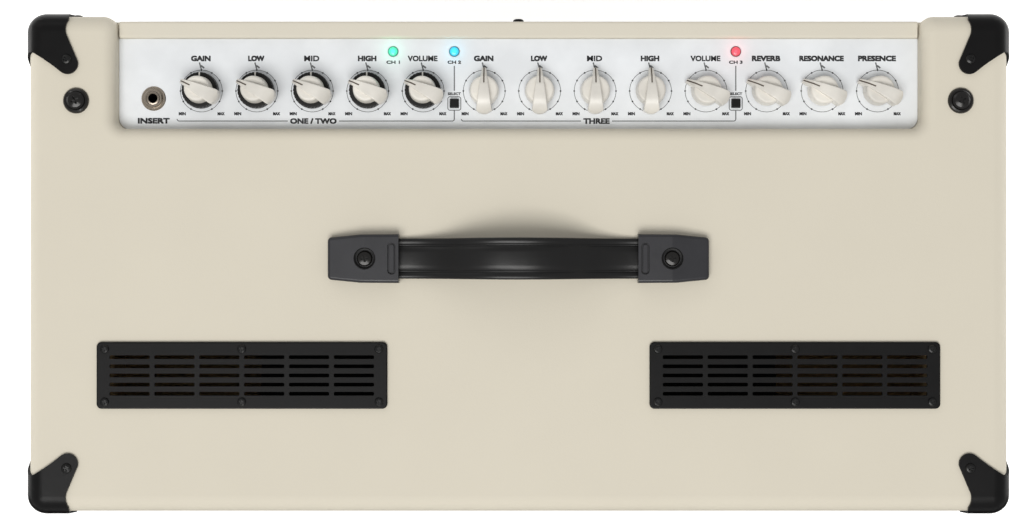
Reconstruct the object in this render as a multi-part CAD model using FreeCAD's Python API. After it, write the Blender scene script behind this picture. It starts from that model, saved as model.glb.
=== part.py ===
import FreeCAD, Part
import math
import os

V = FreeCAD.Vector
X_AXIS, Y_AXIS, Z_AXIS = V(1, 0, 0), V(0, 1, 0), V(0, 0, 1)

# Guitar amplifier head with a top control panel. Millimetres. +Z up, the front faces -Y, and the
# origin is on the surface that the feet stand on, under the middle of the cabinet.

# --- cabinet -----------------------------------------------------------------------------------
CAB_W, CAB_D, CAB_H = 701.0, 355.0, 252.0   # over the vinyl
FOOT_H = 15.0
VINYL = 1.0
BOARD = 18.0
EDGE_R = 12.0
X_OUT, Y_OUT = CAB_W / 2, CAB_D / 2
Z_LOW, Z_TOP = FOOT_H, FOOT_H + CAB_H
X_IN = X_OUT - VINYL - BOARD                # inner faces of the boards
Z_FLOOR, Z_CEIL = Z_LOW + VINYL + BOARD, Z_TOP - VINYL - BOARD
FINGERS = 13                                # box-joint fingers along each corner

# --- cut-out in the top board for the control panel ---------------------------------------------
NOTCH_X, NOTCH_Y = 288.6, 96.9              # half width, and its front wall
NOTCH_EDGE_R, NOTCH_CORNER_R = 9.0, 8.0

# --- front and rear ------------------------------------------------------------------------------
TUCK = 18.0                                 # vinyl folded in behind the front rim
GRILLE_SETBACK = 8.0
CLOTH_T, BAFFLE_T, CLEAT = 1.2, 12.0, 18.0
PIPING_D = 5.0
GRILLE_GAP = 0.4
Y_CLOTH = -Y_OUT + GRILLE_SETBACK
REAR_SETBACK, REAR_T = 2.8, 12.0
Y_REAR = Y_OUT - REAR_SETBACK               # outer face of the rear board
Y_REAR_IN = Y_REAR - REAR_T
REAR_TONGUE_Z = Z_TOP - 14.0
REAR_CLEAT_X = 306.5
JACK_WINDOW = (270.0, 192.0, 236.0)         # half width, lowest and highest z
VENT_WINDOW = (185.0, 74.0, 164.0)

# --- chassis -------------------------------------------------------------------------------------
STEEL, PANEL_T = 1.5, 1.5
CHASSIS_FLANGE_X, CHASSIS_X = 325.0, 300.0
CHASSIS_Y0, CHASSIS_Y1 = 25.0, Y_REAR_IN - 0.2
CHASSIS_Z0 = 186.0
Z_PANEL = Z_CEIL + PANEL_T                  # upper face of the control panel

# --- controls ------------------------------------------------------------------------------------
PITCH = 40.05
CH12_X0, CH3_X0, MASTER_X0 = -229.0, -24.7, 179.3
KNOB_Y = 124.8
EQ_NAMES = ("gain", "low", "mid", "high", "volume")
DUALS = [(n, CH12_X0 + i * PITCH) for i, n in enumerate(EQ_NAMES)]
TEN_O_CLOCK = 64.0                          # turn from twelve o'clock, seen from above
SINGLES = [(n + "_knob_ch3", CH3_X0 + i * PITCH, TEN_O_CLOCK if n == "volume" else 0.0)
           for i, n in enumerate(EQ_NAMES)]
SINGLES += [(n + "_knob", MASTER_X0 + i * PITCH, TEN_O_CLOCK)
            for i, n in enumerate(("reverb", "resonance", "presence"))]
BUSHING_R, SHAFT_R, INNER_SHAFT_R = 3.6, 3.0, 1.6
RUNNING = 0.05                              # radial clearance of a turning shaft
POT_R, POT_H, DUAL_POT_H = 8.2, 10.5, 19.0
NUT_FLATS, NUT_H = 10.0, 2.2
SINGLE_BUSHING_Z, DUAL_BUSHING_Z = Z_PANEL + 6.5, Z_PANEL + 4.5
KNOB_GAP = 1.1                              # under a knob's skirt
RING_R, RING_TOP_Z = 12.9, Z_PANEL + 8.5
UPPER_KNOB_Z = RING_TOP_Z + 0.8
KNOB_H = 15.9
SINGLE_SIZE, UPPER_SIZE = (10.8, 16.2, 17.0), (9.8, 13.8, 16.0)   # skirt radius, beak, tail
BUTTONS = (("select_button_ch12", -46.3), ("select_button_ch3", 157.0))
BUTTON_Y, BUTTON_SIDE, BUTTON_TRAVEL = 115.8, 6.1, 1.5
LAMPS = (-90.5, -46.3, 157.0)
LAMP_Y, LAMP_R = 153.3, 3.8
INSERT_X, INSERT_Y = -263.4, 119.3

# --- rear sockets and switches -------------------------------------------------------------------
REAR_ROW_Z = 214.0
JACK_BORE_R, JACK_BUSH_R, JACK_DEPTH = 3.25, 5.0, 24.0
REAR_JACKS = (("speaker_jack_a", 95.0), ("speaker_jack_b", 65.0), ("effects_send_jack", -60.0),
              ("effects_return_jack", -90.0), ("footswitch_jack", -150.0))
INLET_X, POWER_X, STANDBY_X = 235.0, 190.0, 160.0
ROCKER_R, ROCKER_W, ROCKER_THROW = 8.4, 11.4, 20.0

# --- handle, vents, bolts, corners, feet ---------------------------------------------------------
HANDLE_Y, HANDLE_BOLT_X = 3.7, 108.8
CAP_X0, CAP_X1, CAP_H = 84.8, 135.2, 11.0
CAP_W_IN, CAP_W_MID, CAP_W_OUT = 34.7, 34.3, 29.8
STRAP_W, STRAP_END_W, STRAP_T = 29.6, 27.0, 4.0
STRAP_RISE_TOP, STRAP_RISE_LOW = 26.0, 21.0
STRAP_END_X, STRAP_SLIDE = 122.0, 3.0
CHASSIS_BOLT = (315.0, 116.2)
VENT_X, VENT_Y = 196.7, -79.4
VENT_L, VENT_W, VENT_T = 206.8, 47.5, 2.5
SLOT_L, SLOT_W, SLOT_PITCH_X, SLOT_PITCH_Y = 28.6, 2.7, 31.9, 6.5
VENT_SCREW_X, VENT_SCREW_Y = 97.5, 18.8
CORNER_T = 2.0
FOLD = 3.7                                  # how far each flap reaches round a folded edge
TONGUE_TIP_R, TONGUE_X, TONGUE_Y = 7.5, 29.5, 35.0
FOOT_X, FOOT_Y, FOOT_R = 275.0, 120.0, 19.0
SCREW_HEAD_R, SCREW_R = 3.6, 1.7

# --- parts hung under the chassis ------------------------------------------------------------------
POWER_TUBES_X = (-150.0, -100.0)
PREAMP_TUBES_X = [118.0 + i * 27.5 for i in range(7)]
TUBE_Y = 95.0
OCTAL_R, NOVAL_R, SOCKET_H = 16.0, 11.0, 8.0


# ===== helpers =====================================================================================
def box(x0, x1, y0, y1, z0, z1):
    return Part.makeBox(x1 - x0, y1 - y0, z1 - z0, V(x0, y0, z0))


def cyl(radius, at, height, axis=Z_AXIS):
    return Part.makeCylinder(radius, height, V(*at), axis)


def cone(radius_low, radius_high, at, height, axis=Z_AXIS):
    return Part.makeCone(radius_low, radius_high, height, V(*at), axis)


def move(shape, x=0.0, y=0.0, z=0.0):
    copy = shape.copy()
    copy.translate(V(x, y, z))
    return copy


def turn(shape, at, axis, degrees):
    copy = shape.copy()
    copy.rotate(V(*at), axis, degrees)
    return copy


def mirror(shape, x=False, y=False, z_at=None):
    copy = shape
    if x:
        copy = copy.mirror(V(0, 0, 0), X_AXIS)
    if y:
        copy = copy.mirror(V(0, 0, 0), Y_AXIS)
    if z_at is not None:
        copy = copy.mirror(V(0, 0, z_at), Z_AXIS)
    return copy


def fuse(shapes):
    first = shapes[0]
    return first.multiFuse(shapes[1:]).removeSplitter() if len(shapes) > 1 else first


def cut(shape, tools):
    return shape.cut(Part.makeCompound(list(tools)))


def polygon_prism(points, direction):
    """A closed outline of 3-D points, extruded along a vector."""
    wire = Part.makePolygon([V(*p) for p in points] + [V(*points[0])])
    return Part.Face(wire).extrude(V(*direction))


def rounded_prism(x0, x1, y0, y1, z0, z1, radius):
    """A box whose four vertical edges are rounded."""
    block = box(x0, x1, y0, y1, z0, z1)
    upright = [e for e in block.Edges if abs(e.tangentAt(e.FirstParameter).z) > 0.9]
    return block.makeFillet(radius, upright)


def rounded_window(x0, x1, z0, z1, y0, y1, radius):
    """The same, with the rounded edges along Y."""
    block = box(x0, x1, y0, y1, z0, z1)
    along = [e for e in block.Edges if abs(e.tangentAt(e.FirstParameter).y) > 0.9]
    return block.makeFillet(radius, along)


def hexagon(flats, at, height, axis=Z_AXIS):
    """A hexagonal bar along Z or Y."""
    radius = flats / math.sqrt(3)
    points = []
    for i in range(6):
        a, b = radius * math.cos(i * math.pi / 3), radius * math.sin(i * math.pi / 3)
        points.append((at[0] + a, at[1] + b, at[2]) if axis.z else (at[0] + a, at[1], at[2] + b))
    return polygon_prism(points, axis * height)


def revolve(points, at, axis=Z_AXIS):
    """A profile of (radius, height) points turned about an axis along Z or Y through at."""
    outline = [V(r, 0, h) for r, h in points]
    solid = Part.Face(Part.makePolygon(outline + outline[:1])).revolve(V(0, 0, 0), Z_AXIS, 360)
    if axis.y:
        solid.rotate(V(0, 0, 0), X_AXIS, -90 if axis.y > 0 else 90)
    elif axis.z < 0:
        solid.rotate(V(0, 0, 0), X_AXIS, 180)
    elif axis.x:
        solid.rotate(V(0, 0, 0), Y_AXIS, 90 if axis.x > 0 else -90)
    solid.translate(V(*at))
    return solid


def solids_of(shapes):
    found = []
    for shape in shapes:
        found += shape.Solids
    return found


def export(name, shapes):
    """Writes a node's separate solids as one STEP file."""
    solids = solids_of(shapes if isinstance(shapes, (list, tuple)) else [shapes])
    bad = [i for i, s in enumerate(solids) if not s.isValid() or s.Volume <= 0]
    if bad or not solids:
        print("PROBLEM", name, bad, len(solids))
    Part.makeCompound(solids).exportStep(os.path.join("parts", name + ".step"))


# ===== cabinet =====================================================================================
def notch_prism(inset):
    """The cut-out's plan, rounded at its two inner corners and open to the rear."""
    half, front = NOTCH_X + inset, NOTCH_Y - inset
    prism = box(-half, half, front, Y_OUT + 20, Z_CEIL - 60, Z_TOP + 20)
    inner = [e for e in prism.Edges
             if abs(e.tangentAt(e.FirstParameter).z) > 0.9 and e.Vertexes[0].Y < front + 1]
    return prism.makeFillet(NOTCH_CORNER_R + inset, inner)


def envelope(inset):
    """The cabinet's outer form, inset by the given depth, with the panel's cut-out rounded over."""
    block = box(-X_OUT + inset, X_OUT - inset, -Y_OUT + inset, Y_OUT - inset,
                Z_LOW + inset, Z_TOP - inset)
    block = block.makeFillet(EDGE_R - inset, block.Edges).cut(notch_prism(inset))
    half, front, corner = NOTCH_X + inset, NOTCH_Y - inset, NOTCH_CORNER_R + inset

    def on_wall(p):
        over_x = max(0.0, abs(p.x) - (half - corner))
        over_y = max(0.0, front + corner - p.y)
        return abs(math.hypot(over_x, over_y) - corner) < 0.01

    rim = []
    for edge in block.Edges:
        if edge.Length < 0.01:
            continue
        span = edge.LastParameter - edge.FirstParameter
        samples = [edge.valueAt(edge.FirstParameter + t * span) for t in (0.02, 0.5, 0.98)]
        seam = samples[0].y < front + corner + 1 and abs(samples[0].z - samples[2].z) > 1
        on_floor = max(p.z for p in samples) < Z_CEIL - 59
        if all(on_wall(p) for p in samples) and not seam and not on_floor:
            rim.append(edge)
    return block.makeFillet(NOTCH_EDGE_R - inset, rim)


def cavity(y0, y1, inset):
    """The inside of the cabinet, smaller by inset on each wall."""
    return box(-X_IN + inset, X_IN - inset, y0, y1, Z_FLOOR + inset, Z_CEIL - inset)


def finger_boxes(odd):
    """Every second finger of the four box-jointed corners."""
    step = CAB_D / FINGERS
    found = []
    for i in range(FINGERS):
        if i % 2 == odd:
            y0 = -Y_OUT + i * step
            for x0, x1 in ((-X_OUT, -X_IN), (X_IN, X_OUT)):
                found.append(box(x0, x1, y0, y0 + step, Z_LOW, Z_FLOOR))
                found.append(box(x0, x1, y0, y0 + step, Z_CEIL, Z_TOP))
    return found


def make_boards(holes):
    """The four plywood boards, box-jointed at the corners."""
    shell = cut(envelope(VINYL), [cavity(-Y_OUT - 5, Y_OUT + 5, 0)] + holes)
    flat_keep, side_keep = finger_boxes(0), finger_boxes(1)
    regions = {
        "top_board": (box(-X_OUT, X_OUT, -Y_OUT, Y_OUT, Z_CEIL, Z_TOP), side_keep),
        "bottom_board": (box(-X_OUT, X_OUT, -Y_OUT, Y_OUT, Z_LOW, Z_FLOOR), side_keep),
        "left_side_board": (box(-X_OUT, -X_IN, -Y_OUT, Y_OUT, Z_LOW, Z_TOP), flat_keep),
        "right_side_board": (box(X_IN, X_OUT, -Y_OUT, Y_OUT, Z_LOW, Z_TOP), flat_keep),
    }
    return {name: cut(shell.common(region), others) for name, (region, others) in regions.items()}


def make_vinyl(holes):
    """The glued vinyl: outside, over both rims, down the cut-out's walls and in behind the front rim."""
    wood = envelope(VINYL).cut(cavity(-Y_OUT - 5, Y_OUT + 5, 0))
    inside = [cavity(-Y_OUT - 5, -Y_OUT + TUCK, VINYL), cavity(-Y_OUT + TUCK, Y_OUT + 5, 0)]
    return cut(envelope(0).cut(wood), inside + holes)


def make_cleats():
    """Battens that the baffle and the rear board are screwed to."""
    y_front = Y_CLOTH + CLOTH_T + BAFFLE_T
    y_rear = Y_REAR_IN
    strips = []
    for side in (False, True):
        strips.append(mirror(box(X_IN - CLEAT, X_IN, y_front, y_front + CLEAT,
                                 Z_FLOOR + CLEAT, Z_CEIL - CLEAT), x=side))
        strips.append(mirror(box(REAR_CLEAT_X, X_IN, y_rear - CLEAT, y_rear,
                                 Z_FLOOR, Z_CEIL - STEEL - 0.3), x=side))
    strips.append(box(-X_IN, X_IN, y_front, y_front + CLEAT, Z_FLOOR, Z_FLOOR + CLEAT))
    strips.append(box(-X_IN, X_IN, y_front, y_front + CLEAT, Z_CEIL - CLEAT, Z_CEIL))
    strips.append(box(-REAR_CLEAT_X, REAR_CLEAT_X, y_rear - CLEAT, y_rear,
                      Z_FLOOR, Z_FLOOR + CLEAT))
    return strips


# ===== front =======================================================================================
def grille_rect(margin):
    """Half width, lowest and highest z of the front opening, less a margin."""
    return X_IN - VINYL - margin, Z_FLOOR + VINYL + margin, Z_CEIL - VINYL - margin


def make_baffle():
    half, z0, z1 = grille_rect(GRILLE_GAP + CLOTH_T)
    y0 = Y_CLOTH + CLOTH_T
    return rounded_window(-half, half, z0, z1, y0, y0 + BAFFLE_T, 3.0)


def make_cloth():
    """The cloth, stretched over the baffle's face and folded round its edges."""
    half, z0, z1 = grille_rect(GRILLE_GAP)
    inner, w0, w1 = grille_rect(GRILLE_GAP + CLOTH_T)
    y0 = Y_CLOTH
    outer = rounded_window(-half, half, z0, z1, y0, y0 + CLOTH_T + BAFFLE_T, 4.2)
    core = rounded_window(-inner, inner, w0, w1, y0 + CLOTH_T, y0 + CLOTH_T + BAFFLE_T + 1, 3.0)
    return outer.cut(core)


def make_piping():
    """A round bead that closes the gap round the grille."""
    half, z0, z1 = grille_rect(PIPING_D / 2 + 0.2)
    y = Y_CLOTH - PIPING_D / 2
    bend = 5.0
    quarter = math.sqrt(0.5) * bend
    corners = [(half, z0, 1, -1), (half, z1, 1, 1), (-half, z1, -1, 1), (-half, z0, -1, -1)]
    edges, previous = [], None
    for x, z, sx, sz in corners + corners[:1]:
        cx, cz = x - sx * bend, z - sz * bend
        a, b = V(cx, y, z), V(x, y, cz)
        if sx * sz < 0:
            first, last = (a, b)
        else:
            first, last = (b, a)
        if previous is not None:
            edges.append(Part.LineSegment(previous, first).toShape())
        if len(edges) < 8:
            middle = V(cx + sx * quarter, y, cz + sz * quarter)
            edges.append(Part.Arc(first, middle, last).toShape())
        previous = last
    path = Part.Wire(Part.__sortEdges__(edges))
    start = edges[0].valueAt(edges[0].FirstParameter)
    tangent = edges[0].tangentAt(edges[0].FirstParameter)
    ring = Part.Wire(Part.makeCircle(PIPING_D / 2, start, tangent))
    return path.makePipeShell([ring], True, False)


# ===== rear ========================================================================================
def make_rear_board(holes):
    """The vinyl-covered back, with a tongue that closes the cut-out and two windows."""
    half, tongue = X_IN - 1.5, NOTCH_X - 1.2
    z0, z1 = Z_FLOOR + 1.0, Z_CEIL - 1.0
    y0, y1 = Y_REAR_IN, Y_REAR
    outline = [(-half, y0, z0), (half, y0, z0), (half, y0, z1), (tongue, y0, z1),
               (tongue, y0, REAR_TONGUE_Z), (-tongue, y0, REAR_TONGUE_Z), (-tongue, y0, z1),
               (-half, y0, z1)]
    board = polygon_prism(outline, (0, y1 - y0, 0))
    rims = [e for e in board.Edges if abs(e.CenterOfMass.y - y1) < 0.01 and (
        abs(e.CenterOfMass.z - REAR_TONGUE_Z) < 0.01 or abs(e.CenterOfMass.z - z0) < 0.01
        or abs(abs(e.CenterOfMass.x) - half) < 0.01)]
    board = board.makeFillet(2.0, rims)
    top_inner = [e for e in board.Edges if abs(e.CenterOfMass.y - y0) < 0.01
                 and abs(e.CenterOfMass.z - REAR_TONGUE_Z) < 0.01]
    board = board.makeFillet(2.0, top_inner)
    windows = []
    for window, radius in ((JACK_WINDOW, 6.0), (VENT_WINDOW, 10.0)):
        w_half, w0, w1 = window
        windows.append(rounded_window(-w_half, w_half, w0, w1, y0 - 1, y1 + 1, radius))
    return cut(board, windows + holes)


def make_rear_mesh():
    """Slotted steel sheet behind the vent window."""
    half, z0, z1 = VENT_WINDOW
    margin, columns, rows = 8.0, 10, 9
    y0, y1 = Y_REAR_IN - 1.5, Y_REAR_IN
    sheet = box(-half - margin, half + margin, y0, y1, z0 - margin, z1 + margin)
    step_x, step_z = 2 * half / columns, (z1 - z0) / rows
    slots = []
    for i in range(columns):
        for j in range(rows):
            x, z = -half + (i + 0.5) * step_x, z0 + (j + 0.5) * step_z
            slots.append(rounded_window(x - step_x / 2 + 3, x + step_x / 2 - 3,
                                        z - 2.6, z + 2.6, y0 - 1, y1 + 1, 2.5))
    return cut(sheet, slots)


# ===== hardware on the outside =======================================================================
def tongue_outline(foot_y=26.5):
    """A corner protector's flap in plan, from the cabinet's corner at 0,0, as a prism along Z.

    It is just deep enough to meet the next face's flap half way round the folded edge."""
    foot_x = 29.5
    height = CORNER_T + FOLD
    tip = V(TONGUE_X, TONGUE_Y, 0)
    d = TONGUE_TIP_R
    edges = [
        Part.LineSegment(V(-5, -5, 0), V(foot_x, -5, 0)).toShape(),
        Part.LineSegment(V(foot_x, -5, 0), V(foot_x, FOLD, 0)).toShape(),
        Part.Arc(V(foot_x, FOLD, 0), V(28.2, 8.5, 0), V(28.6, 14.0, 0)).toShape(),
        Part.LineSegment(V(28.6, 14.0, 0), tip + V(d * 0.98, -d * 0.2, 0)).toShape(),
        Part.Arc(tip + V(d * 0.98, -d * 0.2, 0), tip + V(d * 0.25, d * 0.968, 0),
                 tip + V(-d * 0.62, d * 0.785, 0)).toShape(),
        Part.Arc(tip + V(-d * 0.62, d * 0.785, 0), V(13.0, foot_y + 5.6, 0),
                 V(FOLD, foot_y, 0)).toShape(),
        Part.LineSegment(V(FOLD, foot_y, 0), V(-5, foot_y, 0)).toShape(),
        Part.LineSegment(V(-5, foot_y, 0), V(-5, -5, 0)).toShape(),
    ]
    return Part.Face(Part.Wire(edges)).extrude(V(0, 0, height))


def make_corner():
    """One protector at a corner whose three faces meet at 0,0,0 and run into +X, +Y and +Z."""
    size = 60.0
    skin = box(-CORNER_T, size, -CORNER_T, size, -CORNER_T, size)
    skin = skin.makeFillet(EDGE_R + CORNER_T, [e for e in skin.Edges if near_corner(e, -CORNER_T)])
    core = box(0, size + 5, 0, size + 5, 0, size + 5)
    core = core.makeFillet(EDGE_R, [e for e in core.Edges if near_corner(e, 0.0)])
    shell = skin.cut(core)
    top = move(tongue_outline(), z=-CORNER_T)
    side = turn(tongue_outline(), (0, 0, 0), V(0, 1, 0), -90)
    side = move(side.mirror(V(0, 0, 0), X_AXIS), x=-CORNER_T)
    face = turn(tongue_outline(29.5), (0, 0, 0), V(1, 0, 0), 90)
    face = move(face.mirror(V(0, 0, 0), Y_AXIS), y=-CORNER_T)
    knuckle = box(-CORNER_T, EDGE_R, -CORNER_T, EDGE_R, -CORNER_T, EDGE_R)
    flaps = [shell.common(part) for part in (top, side, face, knuckle)]
    return fuse(flaps)


def near_corner(edge, low):
    """The three edges that meet at the protector's corner."""
    c = edge.CenterOfMass
    return sum(abs(v - low) < 0.01 for v in (c.x, c.y, c.z)) == 2


# Each flap's screw: its axis, and its place on the flap measured from the corner.
FLAP_SCREW = (29.0, 32.0)


def screw(at, axis, length, head_r=SCREW_HEAD_R, shank_r=SCREW_R):
    """A pan-head cross-recess screw whose head stands at a surface point and leaves along axis."""
    height = head_r * 0.55
    profile = [(0, -length), (shank_r * 0.4, -length), (shank_r, -length + 2.5), (shank_r, 0),
               (head_r, 0), (head_r, height * 0.35), (head_r * 0.86, height * 0.75),
               (head_r * 0.5, height), (0, height)]
    body = revolve(profile, (0, 0, 0))
    arm, width, depth = head_r * 0.55, head_r * 0.17, height * 0.6
    for angle in (0, 90):
        slot = box(-arm, arm, -width, width, height - depth, height + 1)
        body = body.cut(turn(slot, (0, 0, 0), Z_AXIS, angle + 20))
    if axis == (0, 0, -1):
        body.rotate(V(0, 0, 0), X_AXIS, 180)
    elif axis[1]:
        body.rotate(V(0, 0, 0), X_AXIS, -90 * axis[1])
    elif axis[0]:
        body.rotate(V(0, 0, 0), Y_AXIS, 90 * axis[0])
    body.translate(V(*at))
    return body


def corner_places():
    """(x side, y side, top) of the eight corners."""
    return [(sx, sy, top) for sx in (-1, 1) for sy in (-1, 1) for top in (False, True)]


def place_corner(shape, sx, sy, top):
    """Moves a shape made at the origin corner to one of the cabinet's eight."""
    placed = move(shape, -X_OUT, -Y_OUT, Z_LOW)
    return mirror(placed, x=sx > 0, y=sy > 0, z_at=(Z_LOW + Z_TOP) / 2 if top else None)


def make_corners(holes):
    """Eight protectors. The four at the front are cut away where the grille is."""
    corner = make_corner()
    half, z0, z1 = grille_rect(0.0)
    grille = box(-half, half, -Y_OUT - 10, -Y_OUT + 10, z0, z1)
    grille = grille.makeFillet(6.0, [e for e in grille.Edges if abs(e.Length - 20) < 0.01])
    found = [cut(place_corner(corner, *place), holes + [grille]) for place in corner_places()]
    return found


def corner_screws():
    """The screws in each protector's flaps; the narrow front flaps have none."""
    u, v = FLAP_SCREW
    found = []
    for sx, sy, top in corner_places():
        z_side = Z_TOP + CORNER_T if top else Z_LOW - CORNER_T
        x_side, y_side = sx * (X_OUT + CORNER_T), sy * (Y_OUT + CORNER_T)
        z_in = Z_TOP - v if top else Z_LOW + v
        z_near = Z_TOP - u if top else Z_LOW + u
        found.append(screw((sx * (X_OUT - u), sy * (Y_OUT - v), z_side),
                           (0, 0, 1 if top else -1), 16.0))
        found.append(screw((x_side, sy * (Y_OUT - v), z_near), (sx, 0, 0), 16.0))
        if sy > 0:
            found.append(screw((sx * (X_OUT - u), y_side, z_in), (0, 1, 0), 16.0))
    return found


def vent_screw_places():
    return [(side * VENT_X + dx, VENT_Y + dy) for side in (-1, 1)
            for dx in (-VENT_SCREW_X, 0, VENT_SCREW_X) for dy in (-VENT_SCREW_Y, VENT_SCREW_Y)]


def rear_screw_places():
    places = [(0.0, 243.0)]
    places += [(s * 317.0, z) for s in (-1, 1) for z in (208.0, 140.0, 66.0)]
    places += [(x, Z_FLOOR + CLEAT / 2) for x in (-210.0, 0.0, 210.0)]
    return places


def make_wood_screws():
    screws = corner_screws()
    for x, y in vent_screw_places():
        screws.append(screw((x, y, Z_TOP + VENT_T), (0, 0, 1), 15.0, 3.1, 1.6))
    for x, z in rear_screw_places():
        length = REAR_T + (12.0 if x or z < 100 else 6.0)
        screws.append(screw((x, Y_REAR + 0.8, z), (0, 1, 0), length, 4.0, 1.9))
    for sx in (-1, 1):
        for sy in (-1, 1):
            screws.append(screw((sx * FOOT_X, sy * FOOT_Y, 6.0), (0, 0, -1), 22.0, 5.0, 2.0))
    return screws


def make_feet(holes):
    profile = [(0, Z_LOW), (FOOT_R, Z_LOW), (FOOT_R, 11.0), (16.5, 1.5), (15.0, 0), (9.0, 0),
               (9.0, 6.0), (0, 6.0)]
    return [cut(revolve(profile, (sx * FOOT_X, sy * FOOT_Y, 0)), holes)
            for sx in (-1, 1) for sy in (-1, 1)]


def make_vents(holes):
    """The two slotted covers on the top."""
    found = []
    for side in (-1, 1):
        x, y = side * VENT_X, VENT_Y
        plate = rounded_prism(x - VENT_L / 2, x + VENT_L / 2, y - VENT_W / 2, y + VENT_W / 2,
                              Z_TOP, Z_TOP + VENT_T, 3.5)
        rim = [e for e in plate.Edges if abs(e.CenterOfMass.z - Z_TOP - VENT_T) < 0.01]
        plate = plate.makeFillet(0.9, rim)
        slots = []
        for i in range(6):
            for j in range(5):
                cx = x + (i - 2.5) * SLOT_PITCH_X
                cy = y + (j - 2) * SLOT_PITCH_Y
                slots.append(rounded_prism(cx - SLOT_L / 2, cx + SLOT_L / 2, cy - SLOT_W / 2,
                                           cy + SLOT_W / 2, Z_TOP - 1, Z_TOP + VENT_T + 1, 0.9))
        found.append(cut(plate, slots + holes))
    return found


def vent_cutouts():
    return [rounded_prism(s * VENT_X - 96, s * VENT_X + 96, VENT_Y - 16.3, VENT_Y + 16.3,
                          Z_CEIL - 1, Z_TOP + 1, 5.0) for s in (-1, 1)]


def make_cup_washers():
    """Pressed cups under the two chassis bolts and the rear board's screws."""
    big = [(3.4, 0), (9.2, 0), (9.2, 0.9), (8.4, 2.3), (7.2, 2.9), (6.6, 2.6), (3.4, 0.8)]
    small = [(2.1, 0), (6.0, 0), (5.8, 0.5), (4.6, 0.8), (2.1, 0.8)]
    x, y = CHASSIS_BOLT
    cups = [revolve(big, (s * x, y, Z_TOP)) for s in (-1, 1)]
    cups += [revolve(small, (x, Y_REAR, z), Y_AXIS) for x, z in rear_screw_places()]
    return cups


def make_top_bolts():
    """The chassis bolts and the handle bolts, with their nuts."""
    x, y = CHASSIS_BOLT
    oval = [(0, -30), (3.0, -30), (3.0, 0.9), (6.3, 2.7), (6.3, 3.2), (5.0, 4.2), (2.5, 4.9), (0, 5.1)]
    found = []
    recess_arm = 3.0
    for s in (-1, 1):
        bolt = revolve(oval, (s * x, y, Z_TOP))
        for angle in (25, 115):
            slot = box(-recess_arm, recess_arm, -0.6, 0.6, 0, 4)
            bolt = bolt.cut(move(turn(slot, (0, 0, 0), Z_AXIS, angle), s * x, y, Z_TOP + 2.8))
        nut = hexagon(9.5, (s * x, y, Z_CEIL - STEEL - 4.5), 4.5).cut(cyl(3.0, (s * x, y, 200), 60))
        found += [bolt, nut]
        hx, seat = s * HANDLE_BOLT_X, handle_seat_z()
        head = [(0, -34), (3.0, -34), (3.0, 0), (5.6, 0), (5.6, 1.6), (4.6, 2.8), (2.4, 3.4), (0, 3.5)]
        bolt = revolve(head, (hx, HANDLE_Y, seat))
        for angle in (10, 100):
            slot = box(-2.6, 2.6, -0.55, 0.55, 0, 4)
            bolt = bolt.cut(move(turn(slot, (0, 0, 0), Z_AXIS, angle), hx, HANDLE_Y, seat + 1.6))
        flange = cyl(9.0, (hx, HANDLE_Y, Z_CEIL - 1.6), 1.6)
        barrel = cyl(4.2, (hx, HANDLE_Y, Z_CEIL), 9.0)
        tee = flange.fuse(barrel).cut(cyl(3.0, (hx, HANDLE_Y, 200), 80))
        found += [bolt, tee]
    return found


def handle_seat_z():
    """The shoulder inside the handle cap that the bolt's head rests on."""
    return Z_TOP + 7.6


def make_handle_caps():
    """The two moulded end caps, hollow for the strap's ends."""
    inner, middle, outer = CAP_W_IN / 2, CAP_W_MID / 2, CAP_W_OUT / 2
    y, bend = HANDLE_Y, CAP_X0 + 27.0
    block = polygon_prism([(CAP_X0, y - inner, Z_TOP), (bend, y - middle, Z_TOP),
                           (CAP_X1, y - outer, Z_TOP), (CAP_X1, y + outer, Z_TOP),
                           (bend, y + middle, Z_TOP), (CAP_X0, y + inner, Z_TOP)], (0, 0, CAP_H))
    upright = [e for e in block.Edges if abs(e.tangentAt(e.FirstParameter).z) > 0.9
               and e.CenterOfMass.x > CAP_X1 - 1]
    block = block.makeFillet(3.0, upright)
    slope = polygon_prism([(CAP_X0 + 24, y - 40, Z_TOP + CAP_H), (CAP_X1 + 1, y - 40, Z_TOP + 7.4),
                           (CAP_X1 + 1, y - 40, Z_TOP + 30), (CAP_X0 + 24, y - 40, Z_TOP + 30)],
                          (0, 80, 0))
    block = block.cut(slope)
    rim = [e for e in block.Edges if e.CenterOfMass.z > Z_TOP + 7.0
           and abs(e.tangentAt(e.FirstParameter).z) < 0.5 and abs(e.CenterOfMass.y - y) > 5]
    block = block.makeFillet(2.2, rim)
    hollow = box(CAP_X0 - 1, STRAP_END_X + 6, y - STRAP_END_W / 2 - 0.7, y + STRAP_END_W / 2 + 0.7,
                 Z_TOP - 1, Z_TOP + STRAP_T + 1.6)
    mouth = box(CAP_X0 - 1, CAP_X0 + 7, y - STRAP_W / 2 - 0.4, y + STRAP_W / 2 + 0.4,
                Z_TOP - 1, Z_TOP + STRAP_T + 2.6)
    sink = cyl(7.8, (HANDLE_BOLT_X, y, handle_seat_z()), 20)
    hole = cyl(3.3, (HANDLE_BOLT_X, y, Z_TOP - 1), 20)
    x0, z0, z1 = CAP_X0 + 1.8, Z_TOP + CAP_H - 2.4, Z_TOP + CAP_H + 5
    pocket = rounded_prism(x0, x0 + 6.0, y - 11.3, y + 11.3, z0, z1, 2.9)
    island = rounded_prism(x0 + 1.5, x0 + 4.5, y - 9.8, y + 9.8, z0 - 0.1, z1, 1.45)
    cap = cut(block, [hollow, mouth, sink, hole, pocket.cut(island)])
    return [cap, mirror(cap, x=True)]


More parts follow.
